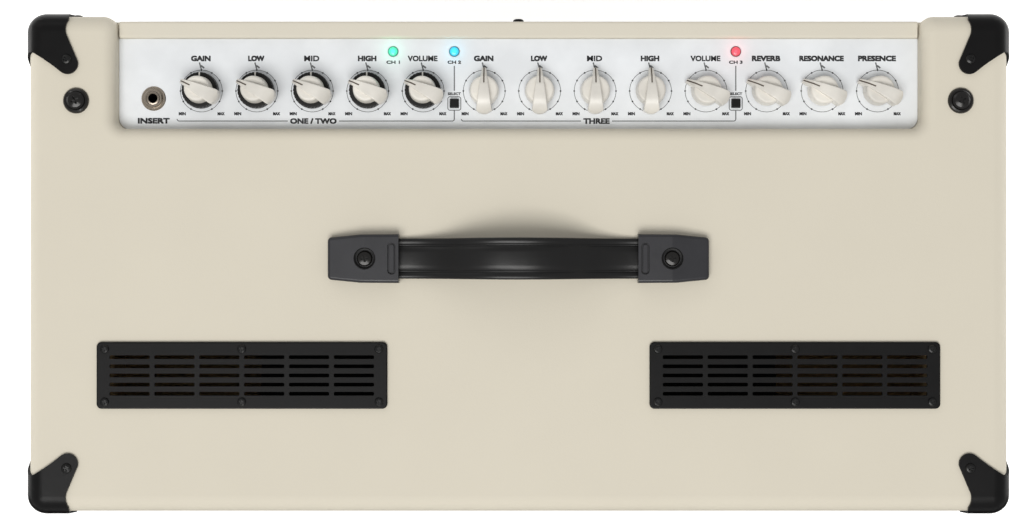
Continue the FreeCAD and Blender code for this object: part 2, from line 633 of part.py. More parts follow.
def arch(z_end, rise):
    """Three tangent arcs and two straight ends: the strap's line from one end to the other."""
    reach = CAP_X0 + 3.0
    radius = (reach ** 2 + rise ** 2) / (4 * rise)
    swing = math.asin(reach / 2 / radius)
    half = swing / 2
    low, top = z_end + radius, z_end + rise - radius
    p = [(-STRAP_END_X, z_end), (-reach, z_end),
         (-reach + radius * math.sin(half), low - radius * math.cos(half)),
         (-reach / 2, z_end + rise / 2), (0.0, z_end + rise), (reach / 2, z_end + rise / 2),
         (reach - radius * math.sin(half), low - radius * math.cos(half)), (reach, z_end),
         (STRAP_END_X, z_end)]
    v = [V(x, 0, z) for x, z in p]
    assert top < z_end
    return v, [Part.LineSegment(v[0], v[1]).toShape(), Part.Arc(v[1], v[2], v[3]).toShape(),
               Part.Arc(v[3], v[4], v[5]).toShape(), Part.Arc(v[5], v[6], v[7]).toShape(),
               Part.LineSegment(v[7], v[8]).toShape()]


def make_strap():
    """The bowed carrying strap, with slotted ends that slide in the caps."""
    z0 = Z_TOP + 0.7
    low_points, low = arch(z0, STRAP_RISE_LOW)
    top_points, top = arch(z0 + STRAP_T, STRAP_RISE_TOP)
    sides = [Part.LineSegment(low_points[0], top_points[0]).toShape(),
             Part.LineSegment(low_points[-1], top_points[-1]).toShape()]
    face = Part.Face(Part.Wire(Part.__sortEdges__(low + top + sides)))
    strap = move(face.extrude(V(0, STRAP_W, 0)), y=HANDLE_Y - STRAP_W / 2)
    cuts = []
    for s in (-1, 1):
        for side in (-1, 1):
            y0 = HANDLE_Y + side * STRAP_END_W / 2
            y1 = y0 + side * 5
            x0, x1 = sorted((s * (CAP_X0 + 3.5), s * (STRAP_END_X + 1)))
            cuts.append(box(x0, x1, min(y0, y1), max(y0, y1), Z_TOP, Z_TOP + 10))
        x = s * HANDLE_BOLT_X
        reach = SHAFT_R + STRAP_SLIDE + 0.8
        cuts.append(rounded_prism(x - reach, x + reach, HANDLE_Y - 3.6, HANDLE_Y + 3.6,
                                  Z_TOP, Z_TOP + 10, 3.5))
    return cut(strap, cuts)


# ===== chassis and panels ============================================================================
def panel_holes(z0, z1, slack):
    """Every opening that the controls need in a plate from z0 to z1."""
    height = z1 - z0
    holes = [cyl(BUSHING_R + slack, (x, KNOB_Y, z0), height)
             for x in [x for _, x in DUALS] + [x for _, x, _ in SINGLES]]
    holes += [cyl(LAMP_R + slack, (x, LAMP_Y, z0), height) for x in LAMPS]
    half = BUTTON_SIDE / 2 + 0.15 + slack
    holes += [box(x - half, x + half, BUTTON_Y - half, BUTTON_Y + half, z0, z1)
              for _, x in BUTTONS]
    holes.append(cyl(JACK_BUSH_R + slack, (INSERT_X, INSERT_Y, z0), height))
    return holes


def rear_plate_holes(y0, y1, slack):
    holes = [cyl(JACK_BUSH_R + slack, (x, y0, REAR_ROW_Z), y1 - y0, Y_AXIS) for _, x in REAR_JACKS]
    holes.append(box(INLET_X - 14 - slack, INLET_X + 14 + slack, y0, y1,
                     REAR_ROW_Z - 10 - slack, REAR_ROW_Z + 10 + slack))
    for x in (POWER_X, STANDBY_X):
        holes.append(box(x - 7 - slack, x + 7 + slack, y0, y1,
                         REAR_ROW_Z - 10 - slack, REAR_ROW_Z + 10 + slack))
    return holes


def make_chassis():
    """A folded steel tray hung under the top board, closed below by a base plate."""
    z1 = Z_CEIL
    x, y0, y1, z0 = CHASSIS_X, CHASSIS_Y0, CHASSIS_Y1, CHASSIS_Z0
    top = box(-CHASSIS_FLANGE_X, CHASSIS_FLANGE_X, y0, y1, z1 - STEEL, z1)
    outer = box(-x, x, y0, y1, z0 + STEEL, z1)
    inner = box(-x + STEEL, x - STEEL, y0 + STEEL, y1 - STEEL, z0, z1 - STEEL)
    tray = top.fuse(outer.cut(inner)).removeSplitter()
    bolts = [cyl(3.2, (s * CHASSIS_BOLT[0], CHASSIS_BOLT[1], z1 - 5), 10) for s in (-1, 1)]
    rear_screw = [cyl(1.9, (0, y1 - 5, 243.0), 10, Y_AXIS)]
    tray = cut(tray, panel_holes(z1 - 4, z1 + 4, 0.2) + rear_plate_holes(y1 - 5, y1 + 5, 0.3)
               + bolts + rear_screw)
    base = box(-x, x, y0, y1, z0, z0 + STEEL)
    holes = [cyl(13.0, (tx, TUBE_Y, z0 - 5), 10) for tx in POWER_TUBES_X]
    holes += [cyl(8.5, (tx, TUBE_Y, z0 - 5), 10) for tx in PREAMP_TUBES_X]
    for tx, spread in ((-240.0, 36.0), (10.0, 30.0)):
        holes += [cyl(5.0, (tx + s * spread, TUBE_Y - 40, z0 - 5), 10) for s in (-1, 1)]
    return [tray, cut(base, holes)]


def make_control_panel():
    """The white panel that lies in the top board's cut-out."""
    half = NOTCH_X - 0.4
    y0, y1 = NOTCH_Y + 0.4, Y_REAR_IN - 0.4
    plate = box(-half, half, y0, y1, Z_CEIL, Z_PANEL)
    inner = [e for e in plate.Edges
             if abs(e.tangentAt(e.FirstParameter).z) > 0.9 and e.CenterOfMass.y < y0 + 1]
    plate = plate.makeFillet(NOTCH_CORNER_R, inner)
    return cut(plate, panel_holes(Z_CEIL - 1, Z_PANEL + 1, 0.1))


def make_rear_plate():
    """The plate behind the rear board's window that carries the sockets and switches."""
    half, z0, z1 = JACK_WINDOW
    y0, y1 = CHASSIS_Y1, CHASSIS_Y1 + PANEL_T
    plate = rounded_window(-half + 1, half - 1, z0 + 1, z1 - 1, y0, y1, 5.0)
    return cut(plate, rear_plate_holes(y0 - 1, y1 + 1, 0.1))


def make_circuit_boards():
    """The main board on its pillars, the control board under the pots, and the switch bodies."""
    z0 = CHASSIS_Z0 + STEEL + 7.0
    main = box(-288, 288, 32, 152, z0, z0 + 1.6)
    main = cut(main, [cyl(14.0, (x, TUBE_Y, z0 - 2), 6) for x in POWER_TUBES_X]
               + [cyl(9.5, (x, TUBE_Y, z0 - 2), 6) for x in PREAMP_TUBES_X])
    pillars = [cyl(3.0, (x, y, CHASSIS_Z0 + STEEL), 7.0)
               for x in (-270, -60, 70, 275) for y in (40, 145)]
    z1 = Z_CEIL - STEEL - DUAL_POT_H - 1.6
    control = box(-242, 272, 100, 140, z1, z1 + 1.6)
    bodies = []
    for _, x in BUTTONS:
        half = BUTTON_SIDE / 2 + 1.4
        body = box(x - half, x + half, BUTTON_Y - half, BUTTON_Y + half, z1 + 1.6, Z_CEIL - STEEL)
        well = BUTTON_SIDE / 2 + 0.15
        bodies.append(body.cut(box(x - well, x + well, BUTTON_Y - well, BUTTON_Y + well,
                                   z1 + 8, Z_CEIL)))
    return [main, control] + pillars + bodies


def make_capacitors():
    """Filter capacitors standing on the main board, each with a crimped top."""
    z0 = CHASSIS_Z0 + STEEL + 7.0 + 1.6
    profile = [(0, 0), (11.5, 0), (12.5, 1.5), (12.5, 3.0), (11.8, 4.0), (12.5, 5.0), (12.5, 33.0),
               (11.5, 34.0), (10.0, 33.2), (0, 33.2)]
    return [revolve(profile, (x, 55.0, z0)) for x in (-265, -235, -205, -60, -30, 50, 80)]


def make_pots():
    """Potentiometer bodies with threaded bushings; the last gang of a dual turns the inner shaft."""
    z = Z_CEIL - STEEL
    board_z = z - DUAL_POT_H
    found = []
    for _, x in DUALS:
        gangs = [cyl(POT_R, (x, KNOB_Y, z - 9.0), 9.0), cyl(POT_R - 1.2, (x, KNOB_Y, z - 10.5), 1.5),
                 cyl(POT_R, (x, KNOB_Y, board_z), DUAL_POT_H - 10.5)]
        bush = cyl(BUSHING_R, (x, KNOB_Y, z), DUAL_BUSHING_Z - z)
        body = fuse(gangs + [bush])
        found.append(cut(body, [cyl(SHAFT_R + RUNNING, (x, KNOB_Y, z - 7.0), 40),
                                cyl(INNER_SHAFT_R + RUNNING, (x, KNOB_Y, z - 15.0), 40)]))
    for _, x, _ in SINGLES:
        body = cyl(POT_R, (x, KNOB_Y, z - POT_H), POT_H).fuse(
            cyl(BUSHING_R, (x, KNOB_Y, z), SINGLE_BUSHING_Z - z))
        legs = [box(x + dx - 0.5, x + dx + 0.5, KNOB_Y - POT_R + 1, KNOB_Y - POT_R + 2,
                    board_z, z - POT_H) for dx in (-3, 0, 3)]
        body = fuse([body] + legs)
        found.append(body.cut(cyl(SHAFT_R + RUNNING, (x, KNOB_Y, z - 7.0), 40)))
    return found


def make_pot_nuts():
    """A washer and a hexagon nut on each bushing."""
    found = []
    for x in [x for _, x in DUALS] + [x for _, x, _ in SINGLES]:
        bore = cyl(BUSHING_R, (x, KNOB_Y, Z_PANEL - 1), 10)
        washer = cyl(6.2, (x, KNOB_Y, Z_PANEL), 0.4)
        nut = hexagon(NUT_FLATS, (x, KNOB_Y, Z_PANEL + 0.4), NUT_H - 0.4)
        found += [washer.cut(bore), nut.cut(bore)]
    return found


# ===== knobs =========================================================================================
def pointer_side(beak, tail, drop):
    """The pointer's side view in the Y-Z plane: tail, back, and the slope down to the beak."""
    p = [(-tail - 0.2, 0), (-tail - 0.2, 8.2), (-0.68 * tail, KNOB_H - 1.3), (-3.0, KNOB_H),
         (3.5, KNOB_H - 1.2), (9.6, KNOB_H - 4.0), (beak + 0.2, 5.2), (beak + 0.2, 0)]
    v = [V(0, y, z - (drop if z else 0)) for y, z in p]
    edges = [Part.LineSegment(v[0], v[1]).toShape(), Part.Arc(v[1], v[2], v[3]).toShape()]
    edges += [Part.LineSegment(v[i], v[(i + 1) % 8]).toShape() for i in range(3, 8)]
    return move(Part.Face(Part.Wire(edges)).extrude(V(40, 0, 0)), x=-20)


def pointer_plan(beak, tail):
    """The pointer seen from above: a wide rounded tail that narrows to the beak."""
    outline = [(-5.6, 2.6 - tail), (-1.5, beak), (1.5, beak), (5.6, 2.6 - tail)]
    v = [V(x, y, 0) for x, y in outline]
    edges = [Part.LineSegment(v[i], v[i + 1]).toShape() for i in range(3)]
    edges.append(Part.Arc(v[3], V(0, -tail, 0), v[0]).toShape())
    return Part.Face(Part.Wire(edges)).extrude(V(0, 0, 30))


def chicken_head(base_r, beak, tail):
    """A pointer knob about the Z axis, its beak towards +Y and its skirt at z 0."""
    skirt = cone(base_r, base_r - 0.9, (0, 0, 0), 11.4)
    rim = [e for e in skirt.Edges if abs(e.CenterOfMass.z - 11.4) < 0.01 and e.Closed]
    skirt = skirt.makeFillet(1.8, rim)
    bar = pointer_plan(beak, tail).common(pointer_side(beak, tail, 0.0))
    sharp = [e for e in bar.Edges if e.CenterOfMass.z > 6.0
             and abs(e.tangentAt((e.FirstParameter + e.LastParameter) / 2).x) < 0.5]
    try:
        bar = bar.makeFillet(0.8, sharp)
    except Exception:
        print("pointer left with sharp edges")
    groove = pointer_side(beak, tail, 0.0).cut(pointer_side(beak, tail, 0.5))
    groove = groove.common(box(-0.5, 0.5, 4.6, beak + 1, 0, 20))
    return skirt.fuse(bar).removeSplitter().cut(groove)


def make_pointer_knob(base, size, x, angle, bushing_z, shaft_r, shaft_low):
    """A pointer knob and the shaft that it is pressed on, turned to its setting."""
    knob = move(turn(chicken_head(*size), (0, 0, 0), Z_AXIS, angle), x, KNOB_Y, base)
    shaft_top = base + 11.4
    hollow = [cyl(shaft_r, (x, KNOB_Y, base - 1), shaft_top - base + 1)]
    if bushing_z > base:
        hollow.append(cyl(7.4, (x, KNOB_Y, base - 1), Z_PANEL + NUT_H + 1.2 - base + 1))
        hollow.append(cyl(BUSHING_R + 0.5, (x, KNOB_Y, base - 1), bushing_z + 0.6 - base + 1))
    shaft = cyl(shaft_r, (x, KNOB_Y, shaft_low), shaft_top - shaft_low)
    return [cut(knob, hollow), shaft]


def make_ring_knob(x):
    """The low fluted knob of a dual control, on its hollow shaft."""
    z0 = Z_PANEL + KNOB_GAP
    height = RING_TOP_Z - z0
    ring = cyl(RING_R, (x, KNOB_Y, z0), height)
    rims = [e for e in ring.Edges if e.Closed and abs(e.CenterOfMass.z - RING_TOP_Z) < 0.01]
    ring = ring.makeFillet(0.9, rims)
    flutes = []
    for i in range(30):
        a = 2 * math.pi * (i + 0.5) / 30
        flutes.append(cyl(0.55, (x + (RING_R + 0.15) * math.cos(a),
                                 KNOB_Y + (RING_R + 0.15) * math.sin(a), z0 + 1.2), height))
    line = box(x - 0.5, x + 0.5, KNOB_Y + 8.0, KNOB_Y + RING_R + 1, RING_TOP_Z - 0.3, RING_TOP_Z + 1)
    hollow = [cyl(7.4, (x, KNOB_Y, z0 - 1), Z_PANEL + NUT_H + 1.0 - z0 + 1),
              cyl(BUSHING_R + 0.5, (x, KNOB_Y, z0 - 1), DUAL_BUSHING_Z + 0.5 - z0 + 1),
              cyl(SHAFT_R, (x, KNOB_Y, z0 - 1), 20)]
    tube_low = Z_CEIL - STEEL - 6.8
    tube = cyl(SHAFT_R, (x, KNOB_Y, tube_low), RING_TOP_Z - tube_low)
    tube = tube.cut(cyl(INNER_SHAFT_R + RUNNING, (x, KNOB_Y, tube_low - 1), 60))
    return [cut(ring, flutes + hollow + [line]), tube]


def make_button(x):
    """A square push-button cap on its stem."""
    half = BUTTON_SIDE / 2
    cap = box(x - half, x + half, BUTTON_Y - half, BUTTON_Y + half, Z_CEIL - 9.0, Z_PANEL + 3.2)
    rim = [e for e in cap.Edges if abs(e.CenterOfMass.z - Z_PANEL - 3.2) < 0.01]
    return cap.makeFillet(0.5, rim)


def make_lamps():
    """Domed lamp lenses, each with its light-emitting diode below."""
    z = Z_CEIL - STEEL - 6.0
    lens = [(0, z), (LAMP_R, z), (LAMP_R, Z_PANEL + 0.8), (3.3, Z_PANEL + 1.5), (2.2, Z_PANEL + 2.0),
            (0, Z_PANEL + 2.2)]
    found = []
    for x in LAMPS:
        found += [revolve(lens, (x, LAMP_Y, 0)), cyl(2.5, (x, LAMP_Y, z - 6.0), 6.0)]
    return found


# ===== sockets and switches ===========================================================================
def jack(at, axis):
    """A quarter-inch socket: moulded body, threaded bush and a long bore, leaving along axis."""
    depth = JACK_DEPTH
    body = box(-8, 8, -8, 8, -depth, 0).fuse(cyl(JACK_BUSH_R, (0, 0, 0), STEEL + PANEL_T + 3.4))
    body = body.removeSplitter().cut(cyl(JACK_BORE_R, (0, 0, -depth + 2), depth + 20))
    if axis == Y_AXIS:
        body.rotate(V(0, 0, 0), X_AXIS, -90)
    body.translate(V(*at))
    return body


def jack_nut(at, axis):
    """A round washer under a knurled nut."""
    washer = [(JACK_BUSH_R, 0), (8.8, 0), (8.8, 0.4), (8.3, 0.9), (JACK_BUSH_R, 0.9)]
    nut = [(JACK_BUSH_R, 0.9), (6.8, 0.9), (6.8, 2.3), (6.2, 2.9), (JACK_BUSH_R, 2.9)]
    return [revolve(washer, at, axis), revolve(nut, at, axis)]


def make_jacks():
    found = [jack((INSERT_X, INSERT_Y, Z_CEIL - STEEL), Z_AXIS)]
    found += [jack((x, CHASSIS_Y1 - STEEL, REAR_ROW_Z), Y_AXIS) for _, x in REAR_JACKS]
    return found


def make_jack_nuts():
    found = jack_nut((INSERT_X, INSERT_Y, Z_PANEL), Z_AXIS)
    for _, x in REAR_JACKS:
        found += jack_nut((x, CHASSIS_Y1 + PANEL_T, REAR_ROW_Z), Y_AXIS)
    return found


def make_inlet():
    """A three-pin mains inlet with its flange."""
    x, z, y = INLET_X, REAR_ROW_Z, CHASSIS_Y1 + PANEL_T
    flange = rounded_window(x - 20, x + 20, z - 13, z + 13, y, y + 2.5, 3.0)
    body = box(x - 14, x + 14, y - 26, y, z - 10, z + 10)
    well = polygon_prism([(x - 12, y + 3, z - 8), (x + 12, y + 3, z - 8), (x + 12, y + 3, z + 4),
                          (x + 8, y + 3, z + 8), (x - 8, y + 3, z + 8), (x - 12, y + 3, z + 4)],
                         (0, -19, 0))
    holes = [cyl(1.7, (x + s * 17, y - 1, z + 9), 5, Y_AXIS) for s in (-1, 1)]
    shell = cut(flange.fuse(body).removeSplitter(), [well] + holes)
    pins = [box(x + dx - 1, x + dx + 1, y - 16, y - 3, z + dz - 2, z + dz + 2)
            for dx, dz in ((-7, -1), (0, 3), (7, -1))]
    return [shell] + pins


def make_switch_frames():
    """Housings of the power and standby rockers."""
    found = []
    y = CHASSIS_Y1 + PANEL_T
    for x in (POWER_X, STANDBY_X):
        bezel = rounded_window(x - 8.2, x + 8.2, REAR_ROW_Z - 11.5, REAR_ROW_Z + 11.5, y, y + 2.0, 2.0)
        body = box(x - 7, x + 7, y - 18, y, REAR_ROW_Z - 10, REAR_ROW_Z + 10)
        half = ROCKER_W / 2 + 0.25
        well = box(x - half, x + half, y - 11, y + 4, REAR_ROW_Z - ROCKER_R - 0.3,
                   REAR_ROW_Z + ROCKER_R + 0.3)
        pin = cyl(1.0, (x - 6.5, rocker_pivot_y(), REAR_ROW_Z), 13.0, X_AXIS)
        found += [bezel.fuse(body).removeSplitter().cut(well).fuse(pin).removeSplitter()]
    return found


def rocker_pivot_y():
    return CHASSIS_Y1 + PANEL_T - 2.0


def make_rocker(x):
    """A rocker with a shallow V face, pressed in at the top, on its pivot."""
    py, pz = rocker_pivot_y(), REAR_ROW_Z
    drum = cyl(ROCKER_R, (x - ROCKER_W / 2, py, pz), ROCKER_W, X_AXIS)
    low, tilt = 4.4, math.radians(ROCKER_THROW / 2)
    rise = 10 * math.tan(tilt)
    face = polygon_prism([(x - 10, py + low, pz), (x - 10, py + low + rise, pz + 10),
                          (x - 10, py + 20, pz + 10), (x - 10, py + 20, pz - 10),
                          (x - 10, py + low + rise, pz - 10)], (20, 0, 0))
    back = box(x - 10, x + 10, py - 20, py - 4.0, pz - 10, pz + 10)
    bore = cyl(1.0 + RUNNING, (x - 10, py, pz), 20, X_AXIS)
    return turn(cut(drum, [face, back, bore]), (x, py, pz), X_AXIS, ROCKER_THROW / 2)


# ===== parts under the chassis ========================================================================
def transformer(x, core, coil):
    """A laminated core with a wound coil through it, in end bells, bolted up to the base plate."""
    cx, cy, cz = core
    z1 = CHASSIS_Z0
    stack = box(x - cx / 2, x + cx / 2, TUBE_Y - cy / 2, TUBE_Y + cy / 2, z1 - cz, z1)
    wx, wy, wz = coil
    mid = z1 - cz / 2
    window = box(x - wx / 2, x + wx / 2, TUBE_Y - wy / 2, TUBE_Y + wy / 2, mid - wz / 2, mid + wz / 2)
    stack = stack.cut(window)
    bells = []
    for s in (-1, 1):
        y0 = TUBE_Y + s * cy / 2
        bell = box(x - wx / 2 - 6, x + wx / 2 + 6, min(y0, y0 + s * wy / 4), max(y0, y0 + s * wy / 4),
                   mid - wz / 2 - 6, mid + wz / 2 + 6)
        outer = [e for e in bell.Edges if abs(e.CenterOfMass.y - (y0 + s * wy / 4)) < 0.01]
        bells.append(bell.makeFillet(6.0, outer))
    winding = box(x - wx / 2 + 0.5, x + wx / 2 - 0.5, TUBE_Y - cy / 2, TUBE_Y + cy / 2,
                  mid - wz / 2 + 0.5, mid + wz / 2 - 0.5)
    return [stack, winding] + bells


def make_power_tubes():
    """Output valves hanging base up: phenolic base and glass bulb."""
    found = []
    top = CHASSIS_Z0 - SOCKET_H
    for x in POWER_TUBES_X:
        base = [(0, top), (16.6, top), (16.6, top - 18), (15.6, top - 20), (0, top - 20)]
        bulb = [(0, top - 20), (13.5, top - 20), (16.2, top - 27), (16.2, top - 82),
                (14.5, top - 90), (9.5, top - 96), (4.0, top - 98), (0, top - 98)]
        found += [revolve(base, (x, TUBE_Y, 0)), revolve(bulb, (x, TUBE_Y, 0))]
    return found


def make_preamp_tubes():
    found = []
    top = CHASSIS_Z0 - SOCKET_H
    bulb = [(0, top), (9.6, top), (10.6, top - 4), (10.6, top - 40), (8.6, top - 44),
            (3.2, top - 46.5), (1.6, top - 51), (0, top - 51)]
    return [revolve(bulb, (x, TUBE_Y, 0)) for x in PREAMP_TUBES_X]


def make_sockets():
    found = [cyl(OCTAL_R, (x, TUBE_Y, CHASSIS_Z0 - SOCKET_H), SOCKET_H) for x in POWER_TUBES_X]
    found += [cyl(NOVAL_R, (x, TUBE_Y, CHASSIS_Z0 - SOCKET_H), SOCKET_H) for x in PREAMP_TUBES_X]
    return found


def make_reverb_tank():
    """A spring reverb pan, open side down, on rubber strips on the floor of the cabinet."""
    x, y0, y1, z0, z1 = 212.0, -128.0, -17.0, Z_FLOOR + 3.0, Z_FLOOR + 36.0
    pan = box(-x, x, y0, y1, z0, z1).cut(box(-x + 1.2, x - 1.2, y0 + 1.2, y1 - 1.2, z0 - 1, z1 - 1.2))
    strips = [box(-x, x, y, y + 10, Z_FLOOR, z0) for y in (y0, y1 - 10)]
    inner = box(-x + 30, x - 30, y0 + 20, y1 - 20, z0 + 12, z0 + 13.2)
    links = [cyl(2.2, (-x + 45, y, z0 + 19), 2 * x - 90, X_AXIS) for y in (y0 + 35, y0 + 55, y0 + 75)]
    magnets = [box(s * (x - 38) - 6, s * (x - 38) + 6, y0 + 27, y0 + 84, z0 + 13.2, z0 + 25)
               for s in (-1, 1)]
    hung = [box(s * (x - 14) - 2, s * (x - 14) + 2, y0 + 50, y0 + 60, z0 + 13, z1 - 1.2)
            for s in (-1, 1)]
    magnets = [m.cut(Part.makeCompound(links)) for m in magnets]
    return [pan, inner] + strips + links + magnets + hung


# ===== everything =====================================================================================
def main():
    os.makedirs("parts", exist_ok=True)
    screws = make_wood_screws()
    bolts = make_top_bolts()
    through = [cyl(3.3, (s * CHASSIS_BOLT[0], CHASSIS_BOLT[1], Z_CEIL - 5), 40) for s in (-1, 1)]
    through += [cyl(3.3, (s * HANDLE_BOLT_X, HANDLE_Y, Z_CEIL - 5), 40) for s in (-1, 1)]
    through += [cyl(4.2, (s * HANDLE_BOLT_X, HANDLE_Y, Z_CEIL), 9.0) for s in (-1, 1)]
    skin_holes = screws + through + vent_cutouts()

    for name, board in make_boards(skin_holes).items():
        export(name, board)
    export("vinyl_covering", make_vinyl(skin_holes))
    export("cleats", [cut(c, screws) for c in make_cleats()])
    export("front_baffle", make_baffle())
    export("grille_cloth", make_cloth())
    export("grille_piping", make_piping())
    export("rear_board", make_rear_board(screws))
    export("rear_vent_mesh", make_rear_mesh())
    export("corner_protectors", make_corners(screws))
    export("wood_screws", screws)
    export("rubber_feet", make_feet(screws))
    export("vent_grilles", make_vents(screws))
    export("cup_washers", make_cup_washers())
    export("top_bolts", bolts)
    export("handle_end_caps", make_handle_caps())
    export("handle_strap", make_strap())

    export("chassis", make_chassis())
    export("control_panel", make_control_panel())
    export("rear_socket_plate", make_rear_plate())
    export("circuit_boards", make_circuit_boards())
    export("filter_capacitors", make_capacitors())
    export("potentiometers", make_pots())
    export("pot_nuts", make_pot_nuts())
    export("jack_sockets", make_jacks())
    export("jack_nuts", make_jack_nuts())
    export("mains_inlet", make_inlet())
    export("switch_frames", make_switch_frames())
    export("power_rocker", make_rocker(POWER_X))
    export("standby_rocker", make_rocker(STANDBY_X))
    export("indicator_lamps", make_lamps())

    export("power_transformer", transformer(-240.0, (96.0, 46.0, 80.0), (64.0, 92.0, 48.0)))
    export("output_transformer", transformer(10.0, (84.0, 38.0, 70.0), (56.0, 76.0, 42.0)))
    export("power_tubes", make_power_tubes())
    export("preamp_tubes", make_preamp_tubes())
    export("tube_sockets", make_sockets())
    export("reverb_tank", make_reverb_tank())

    for name, x in BUTTONS:
        export(name, make_button(x))
    inner_low = Z_CEIL - STEEL - 14.8
    for name, x in DUALS:
        export(name + "_knob_ch12_lower", make_ring_knob(x))
        export(name + "_knob_ch12_upper",
               make_pointer_knob(UPPER_KNOB_Z, UPPER_SIZE, x, TEN_O_CLOCK, 0.0, INNER_SHAFT_R,
                                 inner_low))
    for name, x, angle in SINGLES:
        export(name, make_pointer_knob(Z_PANEL + KNOB_GAP, SINGLE_SIZE, x, angle, SINGLE_BUSHING_Z,
                                       SHAFT_R, Z_CEIL - STEEL - 6.8))


main()
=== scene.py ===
"""Looks of the guitar amplifier head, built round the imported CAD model. Metres, +Z up, front -Y."""
import math

import bmesh
import bpy
from mathutils import Matrix, Vector


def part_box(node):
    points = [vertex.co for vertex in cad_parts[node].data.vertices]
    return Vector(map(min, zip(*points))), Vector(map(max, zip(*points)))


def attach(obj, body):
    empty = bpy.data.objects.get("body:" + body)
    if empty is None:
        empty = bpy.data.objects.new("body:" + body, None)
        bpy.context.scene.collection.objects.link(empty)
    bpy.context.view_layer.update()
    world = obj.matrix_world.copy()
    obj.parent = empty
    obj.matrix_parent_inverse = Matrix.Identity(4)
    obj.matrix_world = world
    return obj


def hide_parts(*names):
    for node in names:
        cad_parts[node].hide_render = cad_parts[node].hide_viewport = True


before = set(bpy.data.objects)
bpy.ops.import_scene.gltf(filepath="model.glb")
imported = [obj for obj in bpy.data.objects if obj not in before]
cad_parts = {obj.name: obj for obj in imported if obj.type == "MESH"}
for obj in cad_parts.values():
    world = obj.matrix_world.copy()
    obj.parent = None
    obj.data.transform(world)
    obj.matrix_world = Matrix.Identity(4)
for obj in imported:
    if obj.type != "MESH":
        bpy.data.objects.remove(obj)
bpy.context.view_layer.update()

MM = 0.001

# Faces that the details are laid on, read from the CAD nodes.
PANEL_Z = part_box("control_panel")[1].z
TOP_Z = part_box("vent_grilles")[0].z
PLATE_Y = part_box("rear_socket_plate")[1].y

# Controls, in millimetres, as the CAD model places them.
PITCH = 40.05
KNOB_Y = 124.8
EQ = ("gain", "low", "mid", "high", "volume")
DUALS = [(name, -229.0 + i * PITCH) for i, name in enumerate(EQ)]
CHANNEL_3 = [(name, -24.7 + i * PITCH) for i, name in enumerate(EQ)]
MASTERS = [(name, 179.3 + i * PITCH) for i, name in enumerate(("reverb", "resonance", "presence"))]
SET_BACK = 64.0                     # degrees that most pointers stand from twelve o'clock
BUTTON_X, BUTTON_Y = (-46.3, 157.0), 115.8
LAMP_X, LAMP_Y, LAMP_R = (-90.5, -46.3, 157.0), 153.3, 3.8
INSERT_X, INSERT_Y = -263.4, 119.3
SOCKET_Z = 214.0
SPEAKER_X = (65.0, 95.0)
HANDLE_BOLT_X, HANDLE_Y = 108.8, 3.7
SHADE_LINER_BASE = 7.6                      # height above the top of the liners round the handle bolts; their black is painted shade in the caps' bolt pockets
POWER_TUBE_X = (-150.0, -100.0)
PREAMP_X, PREAMP_PITCH, PREAMPS = 118.0, 27.5, 7

# A pointer's ridge in side view: (distance from the axis, height from the knob's top).
RIDGE_START, RIDGE_KNEE, RIDGE_TIP_Z = (3.5, -1.2), (9.6, -4.0), -10.7

GREY = 1                            # the second ink of a print; the first is black


